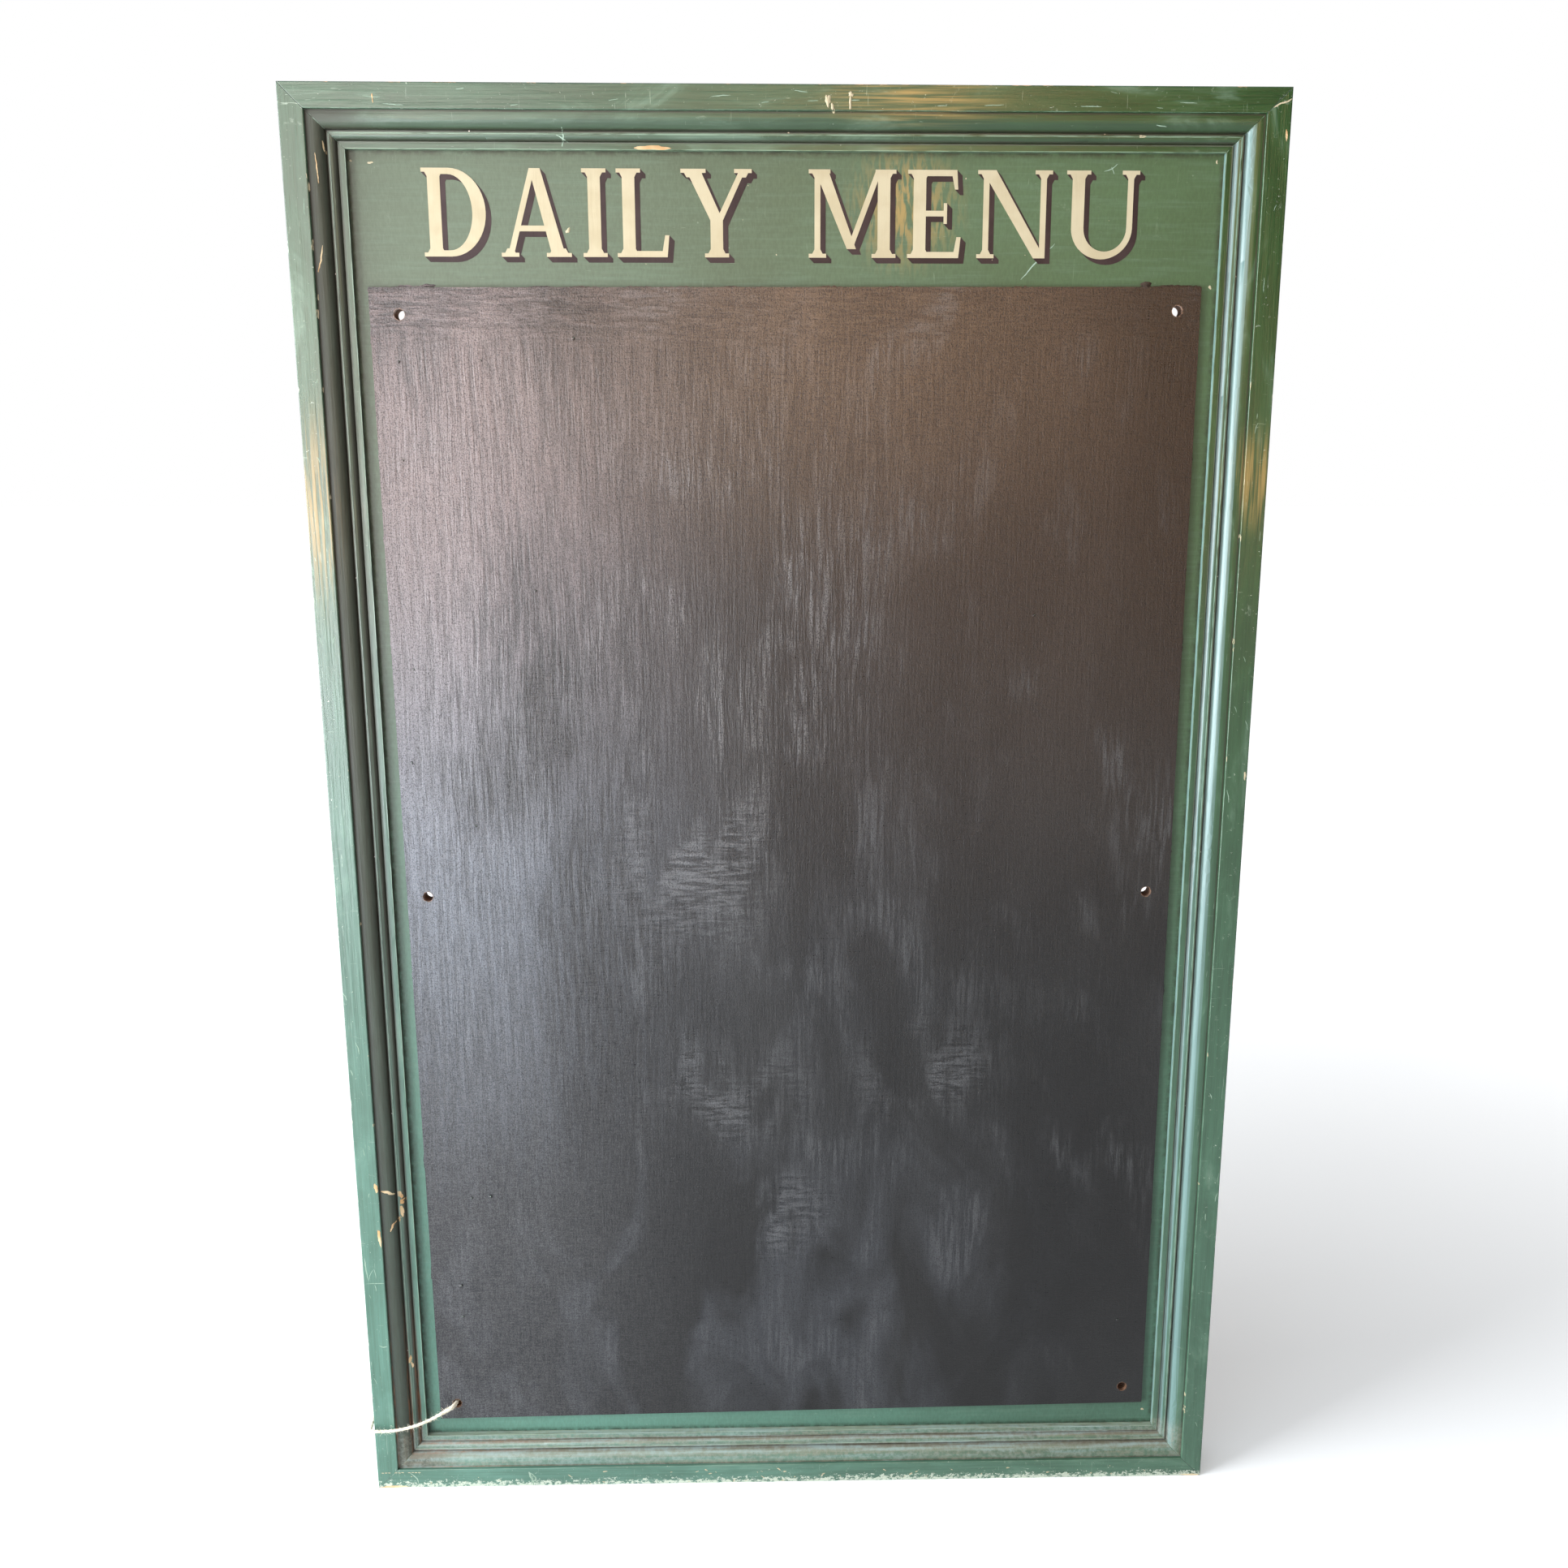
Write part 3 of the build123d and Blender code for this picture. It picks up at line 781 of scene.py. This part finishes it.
def make_knot(material):
    """A tight overhand knot behind the hole, with a short frayed tail."""
    low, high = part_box("twine_knot")
    centre = (low + high) / 2
    size = (high.x - low.x - TWINE_D) / 6.0
    gap = 0.0006
    loop = []
    for i in range(240):
        t = 2 * math.pi * i / 240
        loop.append(centre + Vector((
            (math.sin(t) + 2 * math.sin(2 * t)) * size,
            -math.sin(3 * t) * (high.y - low.y - TWINE_D) / 2,
            (math.cos(t) - 2 * math.cos(2 * t)) * size,
        )))
    vertices, faces = strands(even(loop + loop[:1], gap), gap, lambda i: 0.9)
    bend, end = Vector((0.004, 0.003, -0.003)), Vector((0.005, 0.0045, -0.009))
    tail = even(spline_line([centre, centre + bend, centre + end]), gap)
    vertices, faces = join((vertices, faces), strands(tail, gap, lambda i: 0.8 + 0.012 * i))
    knot = add_piece("twine_stopper_knot", vertices, faces, material, "twine", smooth=True)
    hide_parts("twine_knot")
    return knot


# ---- lettering


def rect(x0, z0, x1, z1):
    return [(x0, z0), (x1, z0), (x1, z1), (x0, z1)]


def slab(x0, x1, z):
    """A serif across a stem's foot (z 0) or head (z 1), with a small bracket."""
    reach, thick, rise = 0.07, 0.045, 0.05
    way = 1 if z == 0 else -1
    edge = [(x0 - reach, z), (x1 + reach, z), (x1 + reach, z + way * thick), (x0 - reach, z + way * thick)]
    bracket = [
        (x0 - reach * 0.4, z + way * thick), (x1 + reach * 0.4, z + way * thick),
        (x1, z + way * (thick + rise)), (x0, z + way * (thick + rise)),
    ]
    return [edge, bracket]


def stem(x0, x1):
    return [rect(x0, 0, x1, 1), *slab(x0, x1, 0), *slab(x0, x1, 1)]


def bowl(outer, inner, start, end, steps=22):
    """A curved stroke between two ellipses, each given as (x, z, reach x, reach z)."""

    def at(ellipse, turn):
        x, z, reach_x, reach_z = ellipse
        return x + reach_x * math.cos(turn), z + reach_z * math.sin(turn)

    turns = [math.radians(start + (end - start) * i / steps) for i in range(steps + 1)]
    return [[at(outer, a), at(outer, b), at(inner, b), at(inner, a)] for a, b in zip(turns, turns[1:])]


THIN = 0.07
LETTERS = {
    "D": (0.80, [*stem(0.08, 0.23), rect(0.2, 0, 0.34, THIN), rect(0.2, 1 - THIN, 0.34, 1),
                 *bowl((0.33, 0.5, 0.43, 0.5), (0.32, 0.5, 0.28, 0.43), -90, 90)]),
    "A": (0.90, [[(0.10, 0), (0.17, 0), (0.46, 1), (0.39, 1)], [(0.64, 0), (0.80, 0), (0.52, 1), (0.39, 1)],
                 rect(0.22, 0.29, 0.68, 0.355), *slab(0.10, 0.17, 0), *slab(0.64, 0.80, 0)]),
    "I": (0.31, stem(0.08, 0.23)),
    "L": (0.66, [*stem(0.08, 0.23), rect(0.2, 0, 0.60, THIN),
                 [(0.54, 0), (0.61, 0), (0.635, 0.25), (0.585, 0.25)]]),
    "Y": (0.88, [rect(0.37, 0, 0.52, 0.45), [(0.37, 0.42), (0.52, 0.42), (0.25, 1), (0.08, 1)],
                 [(0.44, 0.42), (0.52, 0.42), (0.80, 1), (0.73, 1)],
                 *slab(0.37, 0.52, 0), *slab(0.09, 0.25, 1), *slab(0.73, 0.80, 1)]),
    "M": (1.13, [rect(0.12, 0, 0.19, 1), [(0.12, 1), (0.28, 1), (0.62, 0.10), (0.51, 0.10)],
                 [(0.51, 0.10), (0.58, 0.10), (0.93, 1), (0.86, 1)], rect(0.88, 0, 1.03, 1),
                 *slab(0.12, 0.19, 0), *slab(0.12, 0.24, 1),
                 *slab(0.88, 1.03, 0), *slab(0.92, 1.03, 1)]),
    "E": (0.70, [*stem(0.08, 0.23), rect(0.2, 0, 0.62, THIN), rect(0.2, 1 - THIN, 0.58, 1),
                 rect(0.2, 0.475, 0.48, 0.54), [(0.56, 0), (0.63, 0), (0.655, 0.24), (0.605, 0.24)],
                 [(0.53, 1), (0.575, 0.78), (0.615, 0.78), (0.60, 1)], rect(0.445, 0.39, 0.485, 0.625)]),
    "N": (1.00, [rect(0.12, 0, 0.19, 1), [(0.10, 1), (0.27, 1), (0.88, 0), (0.74, 0)], rect(0.81, 0, 0.88, 1),
                 *slab(0.12, 0.19, 0), *slab(0.12, 0.20, 1), *slab(0.81, 0.88, 1)]),
    "U": (0.92, [rect(0.09, 0.33, 0.24, 1), rect(0.76, 0.33, 0.83, 1),
                 *slab(0.09, 0.24, 1), *slab(0.76, 0.83, 1),
                 *bowl((0.46, 0.35, 0.37, 0.36), (0.50, 0.35, 0.26, 0.27), 180, 360)]),
    " ": (0.42, []),
}


def lay_out(word, left, right, base, cap):
    """The word's strokes as convex outlines, spaced to fill the width."""
    spare = (right - left) / cap - sum(LETTERS[letter][0] for letter in word)
    gap = spare / (len(word) - 1)
    outlines = []
    x = 0.0
    for letter in word:
        width, strokes = LETTERS[letter]
        for stroke in strokes:
            outlines.append([Vector((left + (x + px) * cap, base + pz * cap)) for px, pz in stroke])
        x += width + gap
    return outlines


def film(outlines, back, front):
    """A thin film of paint: the outlines' union, between two depths."""
    points, faces = [], []
    for outline in outlines:
        hull = [outline[i] for i in convex_hull_2d(outline)]
        faces.append(list(range(len(points), len(points) + len(hull))))
        points += hull
    flat, _, triangles, _, _, sources = delaunay_2d_cdt(points, [], faces, 1, 1e-6)
    triangles = [triangle for triangle, source in zip(triangles, sources) if source]
    count = len(flat)
    vertices = [(p.x, front, p.y) for p in flat] + [(p.x, back, p.y) for p in flat]
    used = set()
    for triangle in triangles:
        for a, b in zip(triangle, triangle[1:] + triangle[:1]):
            used.add((a, b))
    walls = [(b, a, a + count, b + count) for a, b in used if (b, a) not in used]
    return vertices, [list(t) for t in triangles] + walls


def make_lettering(cream, shade):
    outlines = lay_out("DAILY MENU", -0.287, 0.278, 1.0970, 0.0655)
    slip = Vector((0.0042, -0.0042))
    swept = [outline + [point + slip for point in outline] for outline in outlines]
    add_piece("lettering_shade", *film(swept, PANEL_FRONT_Y, PANEL_FRONT_Y - 0.00012), shade, "lettering_shade")
    add_piece("lettering", *film(outlines, PANEL_FRONT_Y, PANEL_FRONT_Y - 0.00035), cream, "lettering_cream")


# ---- wear


def front_surfaces():
    """A tree of every surface that a mark on the front can lie on."""
    vertices, faces = [], []
    for name in nodes:
        if name.startswith(("frame_", "moulding_")) or name in ("back_panel", "chalkboard_sheet"):
            mesh = nodes[name].data
            piece = [v.co for v in mesh.vertices], [list(p.vertices) for p in mesh.polygons]
            vertices, faces = join((vertices, faces), piece)
    return BVHTree.FromPolygons(vertices, faces)


def depth_at(tree, x, z):
    hit = tree.ray_cast(Vector((x, -0.2, z)), Vector((0, 1, 0)))[0]
    return PANEL_FRONT_Y if hit is None else hit.y


def lobed(wild):
    """A closed outline's reach at an angle: about 1, with uneven lobes."""
    waves = []
    for n in (2, 3, 5, 9):
        start = rng.uniform(0, 2 * math.pi)
        waves.append((n, start, rng.uniform(0.4, 1.0) * wild / math.sqrt(n)))
    return lambda angle: 1.0 + sum(size * math.sin(n * angle + start) for n, start, size in waves)


def mark(tree, x, z, width, height, turn=0.0, proud=0.00015, wild=0.32, sides=26):
    """A ragged spot of paint or bare wood that lies on the front, a little domed."""
    vertices = [(x, depth_at(tree, x, z) - proud, z)]
    cos, sin = math.cos(math.radians(turn)), math.sin(math.radians(turn))
    reach = lobed(wild)
    for ring, lift in ((0.75, 0.9), (1.0, 0.1)):
        for k in range(sides):
            angle = 2 * math.pi * k / sides
            a = math.cos(angle) * width * ring * reach(angle) / 2
            b = math.sin(angle) * height * ring * reach(angle) / 2
            px, pz = x + a * cos - b * sin, max(0.0, z + a * sin + b * cos)
            vertices.append((px, depth_at(tree, px, pz) - proud * lift, pz))
    faces = [(0, 1 + k, 1 + (k + 1) % sides) for k in range(sides)]
    for k in range(sides):
        nxt = (k + 1) % sides
        faces.append((1 + k, 1 + sides + k, 1 + sides + nxt, 1 + nxt))
    return vertices, faces


def scratch(tree, route, width, proud=0.0001, rough=0.5):
    """A thin stroke through (x, z) points, uneven in width and tapered at its ends."""
    line = even([Vector((x, 0, z)) for x, z in route], 0.0007)
    seed = Vector((rng.uniform(0, 90), 0, 0))
    vertices = []
    for i, here in enumerate(line):
        ahead = (line[min(i + 1, len(line) - 1)] - line[max(i - 1, 0)]).normalized()
        taper = math.sin(math.pi * (i + 0.6) / (len(line) + 0.2)) ** 0.5
        half = width / 2 * taper * (1.0 + rough * noise.noise(here * 700.0 + seed))
        drift = Vector((ahead.z, 0, -ahead.x)) * width * rough * noise.noise(here * 250.0 - seed)
        for side, lift in ((-1, 0.3), (0, 1.0), (1, 0.3)):
            at = here + drift + Vector((ahead.z, 0, -ahead.x)) * half * side
            at.z = max(0.0, at.z)
            vertices.append((at.x, depth_at(tree, at.x, at.z) - proud * lift, at.z))
    faces = []
    for i in range(len(line) - 1):
        for k in (0, 1):
            a = 3 * i + k
            faces.append((a, a + 1, a + 4, a + 3))
    return vertices, faces


def ragged_border(corners, low, high):
    """Black paint that ran over the sheet's edge on to the green around it."""
    meshes = []
    for (x0, z0), (x1, z1) in zip(corners, corners[1:] + corners[:1]):
        start, run = Vector((x0, z0)), Vector((x1 - x0, z1 - z0))
        out = Vector((run.y, -run.x)).normalized()
        count = int(run.length / 0.0012)
        vertices, faces = [], []
        for i in range(count + 1):
            at = start + run * (i / count)
            wander = noise.noise(Vector((at.x * 45, at.y * 45, 3.0)))
            wander += 0.5 * noise.noise(Vector((at.x * 400, at.y * 400, 1.0)))
            spill = at + out * (low + (high - low) * max(0.0, wander))
            vertices += [(at.x, PANEL_FRONT_Y - 0.0001, at.y), (spill.x, PANEL_FRONT_Y - 0.00008, spill.y)]
        faces = [(2 * i, 2 * i + 1, 2 * i + 3, 2 * i + 2) for i in range(count)]
        meshes.append((vertices, faces))
    return join(*meshes)


# In millimetres: x, z, width, height, then its turn in degrees and how proud it stands, where it matters
DRIPS = [
    (30, 1208.5, 4.2, 8, 8, 0.4), (33.8, 1203, 2.6, 6, 12, 0.4), (47.2, 1207, 1.8, 12, 0, 0.4),
    (47.6, 1212.8, 4, 3, 0, 0.4), (-173.5, 1116.7, 5.2, 2.4, 40, 0.4), (337.1, 1075.4, 2, 3),
    (333.9, 58.8, 3, 1.8), (-339.9, 1167.3, 2.2, 1.4), (385.5, 679.4, 1.6, 8), (-368.3, 1144.9, 1, 6),
    (-367.5, 1064.3, 1, 5), (-368.4, 1052.2, 1.1, 8), (-325, 1166, 4, 1.8), (274.8, 1185.9, 5, 2.2),
    (336.9, 1169.2, 1.6, 2.6),
]
CHIPS = [
    (-105.5, 1176.7, 25, 3.4), (-370.4, 306.8, 3.4, 8, 8), (-370.3, 258, 3, 15, 3),
    (-352, 295.2, 3.6, 7.5, 18), (-350.2, 288.5, 4, 6, -20), (-351.5, 279, 3.4, 11, 10),
    (-354, 271.5, 3, 5, -14), (-353, 128.5, 2.6, 9, -8), (-351.2, 122.5, 1.8, 6, 6), (-372, 1.2, 31, 2),
    (378, 1.2, 17, 2), (384.5, 1185.2, 1.8, 7.5), (-315.5, 1208.6, 1, 6),
]

# In millimetres: a width, then a route of (x, z) points
CHIPPED_LINES = [
    (2.6, (-367, 302.5), (-361, 301), (-356, 297.5)),
    (1.6, (-361.2, 262), (-359, 268), (-356, 271.2)),
    (0.8, (-362.4, 1170), (-361.8, 1159), (-361.2, 1148)),
    (1, (-361.6, 1103), (-363.2, 1093), (-366.2, 1083)),
    (1, (-357, 1179), (-355.6, 1170)),
]
RUBBED_LINES = [
    (0.8, (-385.2, 238.3), (-384.6, 226), (-382.8, 215)),
    (0.6, (-386.2, 212.3), (-376, 212.8), (-367.6, 212.7)),
    (1, (-377.5, 149.5), (-374, 147.8), (-370.5, 148.6)),
    (1, (-357, 15.5), (-351, 9.4), (-350, 4)),
    (2, (-247, 15), (-244, 8), (-242.5, 1)),
    (1.2, (-245, 14), (-240.5, 9), (-240, 2)),
    (1, (185.1, 1080.7), (196, 1093.5), (211.4, 1108.3)),
    (0.7, (248.3, 1161.7), (254.5, 1164), (258.7, 1167.5)),
    (0.5, (254, 1165.2), (256.2, 1160)),
    (0.6, (283.9, 1192.9), (292, 1191.6)),
    (1.2, (-174.5, 1189.5), (-173.5, 1184), (-175, 1177)),
    (0.8, (-179, 1185), (-170, 1180)),
    (0.6, (224.1, 1205.2), (240.1, 1204.9)),
]
CORNER_DRIP = [(373, 1205.2), (378.4, 1207.8), (382.8, 1209.4), (386.8, 1211.6)]


def mm(*values):
    """Millimetres as metres."""
    return tuple(value / 1000 for value in values)


def marks(tree, rows):
    made = []
    for given in rows:
        x, z, width, height, turn, proud = given + (0, 0, 0, 0, 0, 0.15)[len(given):]
        made.append(mark(tree, *mm(x, z, width, height), turn, *mm(proud)))
    return made


def scratches(tree, rows):
    return [scratch(tree, [mm(*point) for point in route], width / 1000) for width, *route in rows]


def make_drips(tree):
    """Cream paint: drips, the broken line along the foot, and specks along the edges and the header."""
    meshes = marks(tree, DRIPS)
    meshes.append(scratch(tree, [mm(*point) for point in CORNER_DRIP], 0.0013, 0.0002))
    for i in (0, 1, 2, 4, 5, 6, 8, 9, 10, 11):
        x = -0.3840 + 0.0031 * i
        meshes.append(scratch(tree, [(x, 0.0162), (x + 0.0024, 0.0160)], 0.0007))
    for _ in range(40):
        x, z = rng.uniform(-0.38, 0.38), rng.uniform(0.0015, 0.0150)
        width, height = rng.uniform(0.0006, 0.0040), rng.uniform(0.0004, 0.0014)
        meshes.append(mark(tree, x, z, width, height, rng.uniform(-40, 60), 0.0001))
    for _ in range(22):
        side = rng.choice((-1, 1))
        x, z = side * rng.uniform(0.3683, 0.3692), rng.uniform(0.05, 1.17)
        width, height = rng.uniform(0.0004, 0.0009), rng.uniform(0.0010, 0.0060)
        meshes.append(mark(tree, x, z, width, height, rng.uniform(-6, 6), 0.0001))
    for _ in range(9):
        x, z = rng.uniform(-0.33, 0.33), rng.uniform(1.085, 1.165)
        meshes.append(mark(tree, x, z, rng.uniform(0.0004, 0.0010), rng.uniform(0.0004, 0.0010)))
    return join(*meshes)


def make_chips(tree):
    """Places knocked down to the wood."""
    return join(*marks(tree, CHIPS), *scratches(tree, CHIPPED_LINES))


def make_rubs_and_glints(tree):
    """Thin pale scratches on the green, and a painted glint on each lump on the sheet."""
    meshes = scratches(tree, RUBBED_LINES)
    for _ in range(34):
        side = rng.choice((-1, 1))
        x, z, lean = side * rng.uniform(0.3715, 0.3858), rng.uniform(0.03, 1.19), rng.uniform(-0.5, 0.5)
        length = rng.uniform(0.003, 0.012)
        route = [(x, z), (x + lean * length * 0.3, z + length / 2), (x + lean * length, z + length)]
        meshes.append(scratch(tree, route, rng.uniform(0.0003, 0.0007)))
    for _ in range(16):
        x, z, length = rng.uniform(-0.37, 0.37), rng.uniform(1.203, 1.217), rng.uniform(0.004, 0.016)
        route = [(x, z), (x + length, z + rng.uniform(-0.0015, 0.0015))]
        meshes.append(scratch(tree, route, rng.uniform(0.0003, 0.0006)))
    # A painted glint: a small pale spot at the upper right of each lump
    for head in NAIL_HEADS:
        x, z, size = mm(*head)
        proud = size * LUMP_HEIGHT + 0.0001
        meshes.append(mark(tree, x + 0.0005, z + 0.0006, size * 0.30, size * 0.22, 30, proud))
    return join(*meshes)


def make_nibs(tree):
    """Black paint: lumps over nail heads, thick runs, and the spill round the sheet's edge."""
    meshes = []
    for head in NAIL_HEADS:
        x, z, size = mm(*head)
        meshes.append(mark(tree, x, z, size, size, 0, size * LUMP_HEIGHT, 0.12))
    meshes.append(mark(tree, 0.2855, 1.0772, 0.0088, 0.0052, 0, 0.0005, 0.15))
    meshes.append(mark(tree, -0.2860, 1.0750, 0.0120, 0.0030, 0, 0.0004))
    meshes += [scratch(tree, [mm(*point) for point in route], 0.0013, 0.0003, 0.8) for route in RIDGES]
    meshes.append(ragged_border(SHEET, 0.0003, 0.0022))
    return join(*meshes)


def make_wear(cream, wood, black, pale):
    tree = front_surfaces()
    add_piece("paint_drips", *make_drips(tree), cream, "lettering_cream", smooth=True)
    add_piece("paint_chips", *make_chips(tree), wood, "bare_softwood", smooth=True)
    add_piece("paint_rubs_and_glints", *make_rubs_and_glints(tree), pale, "frame_paint", smooth=True)
    add_piece("black_paint_nibs", *make_nibs(tree), black, "chalkboard_black", smooth=True)


# ---- stage


COOL, NEUTRAL = (0.92, 0.96, 1.0), (0.96, 0.98, 1.0)
LAMPLIGHT = (1.0, 0.70, 0.34)

# Lights that light everything, then panels that show only in the gloss:
# name, place, target, width and height, watts, colour
LIGHTS = [
    ("window", (-2.1, -0.9, 0.95), (0, 0, 0.6), (1.3, 1.7), 125.0, COOL),
    ("sky", (0.0, -0.9, 2.6), (0, 0, 0.6), (2.0, 1.2), 22.0, NEUTRAL),
    ("low_left", (-1.7, -1.1, 0.30), (-0.2, 0, 0.2), (0.9, 0.6), 16.0, (0.90, 0.97, 1.0)),
]
GLOSS_PANELS = [
    ("glow_left", (-1.3, -2.0, 0.45), (-0.2, 0, 0.6), (1.0, 0.9), 44.0, (0.86, 0.91, 1.0)),
    ("glow_high", (-1.0, -2.4, 1.50), (0, 0, 1.0), (1.0, 1.2), 31.0, (1.0, 0.88, 0.85)),
    ("glow_warm", (0.2, -3.0, 1.58), (0, 0, 1.0), (1.4, 0.8), 11.0, (1.0, 0.47, 0.17)),
    ("lamp_top", (0.35, -3.0, 1.86), (0, 0, 1.0), (0.45, 0.22), 9.0, LAMPLIGHT),
    ("lamp_left", (-1.3, -3.0, 0.82), (0, 0, 0.9), (0.12, 0.40), 8.0, LAMPLIGHT),
    ("lamp_right", (1.3, -3.0, 0.88), (0, 0, 0.9), (0.12, 0.30), 6.0, LAMPLIGHT),
]


def area_light(name, place, target, size, power, colour):
    data = bpy.data.lights.new(name, "AREA")
    data.shape = "RECTANGLE"
    data.size, data.size_y = size
    data.energy = power
    data.color = colour
    light = bpy.data.objects.new(name, data)
    scene.collection.objects.link(light)
    light.location = place
    light.rotation_mode = "QUATERNION"
    light.rotation_quaternion = (Vector(target) - Vector(place)).to_track_quat("-Z", "Y")
    return light


def make_stage():
    m = Material("floor")
    tone = m.noise(3.0, 2.0, 1.0)
    pale = m.mix(tone, rgb(0.86, 0.86, 0.86), rgb(0.90, 0.90, 0.90))
    away = (m.x * m.x + m.y * m.y).root()
    glow = away.step(0.3, 2.6) * 0.65 + 0.26
    emission = {"Emission Color": rgb(1, 1, 1), "Emission Strength": glow}
    bpy.ops.mesh.primitive_plane_add(size=60.0, location=(0, 0, 0))
    floor = bpy.context.object
    floor.name = "floor"
    floor.data.materials.append(m.surface(pale, 0.9, **emission))

    for light in LIGHTS:
        area_light(*light)
    for panel in GLOSS_PANELS:
        area_light(*panel).visible_diffuse = False


ROOM_LEFT, ROOM_RIGHT = rgb(0.52, 0.57, 0.62), rgb(0.080, 0.068, 0.055)


def make_world():
    """White seen directly; a soft room around the board, brighter on its left than on its right."""
    world = bpy.data.worlds.new("world")
    scene.world = world
    world.use_nodes = True
    tree = world.node_tree
    tree.nodes.clear()

    def add(kind, **inputs):
        node = tree.nodes.new(kind)
        for key, given in inputs.items():
            socket = node.inputs[key.replace("_", " ")]
            if isinstance(given, bpy.types.NodeSocket):
                tree.links.new(given, socket)
            else:
                socket.default_value = given
        return node

    axes = add("ShaderNodeSeparateXYZ", Vector=add("ShaderNodeTexCoord").outputs["Generated"])
    across = add("ShaderNodeMapRange", Value=axes.outputs["X"], From_Min=-0.7, From_Max=0.5)
    ramp = add("ShaderNodeValToRGB", Fac=across.outputs["Result"])
    ramp.color_ramp.elements[0].color = ROOM_LEFT
    ramp.color_ramp.elements[1].color = ROOM_RIGHT
    room = add("ShaderNodeBackground", Color=ramp.outputs["Color"], Strength=0.9)
    white = add("ShaderNodeBackground", Color=rgb(1, 1, 1), Strength=1.0)
    seen = add("ShaderNodeLightPath").outputs["Is Camera Ray"]
    both = tree.nodes.new("ShaderNodeMixShader")
    tree.links.new(seen, both.inputs[0])
    tree.links.new(room.outputs[0], both.inputs[1])
    tree.links.new(white.outputs[0], both.inputs[2])
    output = tree.nodes.new("ShaderNodeOutputWorld")
    tree.links.new(both.outputs[0], output.inputs["Surface"])


# ---- scene


make_camera()
twine_material = twine_fibre()
make_twine(twine_material)

use(frame_paint("X"), "frame_top_rail", "frame_bottom_rail")
use(frame_paint("Z"), "frame_left_stile", "frame_right_stile")
use(moulding_paint("X"), "moulding_top", "moulding_bottom")
use(moulding_paint("Z"), "moulding_left", "moulding_right")
use(panel_paint(), "back_panel")
black = chalkboard_paint()
use(black, "chalkboard_sheet", "sheet_pins")
softwood_x, softwood_z = bare_softwood("X"), bare_softwood("Z")
use(softwood_x, "stop_batten_top", "stop_batten_bottom")
use(softwood_z, "stop_batten_left", "stop_batten_right")
for row in ("top", "bottom"):
    use(softwood_x, f"corner_block_{row}_left", f"corner_block_{row}_right")
use(steel("nail_steel", rgb(0.42, 0.41, 0.39), rgb(0.16, 0.10, 0.07)), "mitre_nails", "moulding_pins")
use(steel("screw_steel", rgb(0.62, 0.58, 0.48), rgb(0.30, 0.26, 0.18)), "batten_screws")
use(twine_material, "tie_twine", "twine_knot")

cream = sign_paint("lettering_cream", rgb(0.425, 0.360, 0.240), rgb(0.380, 0.315, 0.200), 0.36)
shade = sign_paint("lettering_shade", rgb(0.018, 0.009, 0.010), rgb(0.030, 0.017, 0.018), 0.36)
chip_wood = sign_paint("chip_wood", rgb(0.46, 0.26, 0.11), rgb(0.62, 0.50, 0.32), 0.6)
make_lettering(cream, shade)
old_paint_and_glints = sign_paint("old_paint_and_glints", rgb(0.26, 0.34, 0.27), rgb(0.17, 0.25, 0.18), 0.5)
make_wear(cream, chip_wood, black, old_paint_and_glints)

make_stage()
make_world()
scene.view_settings.view_transform = "Standard"
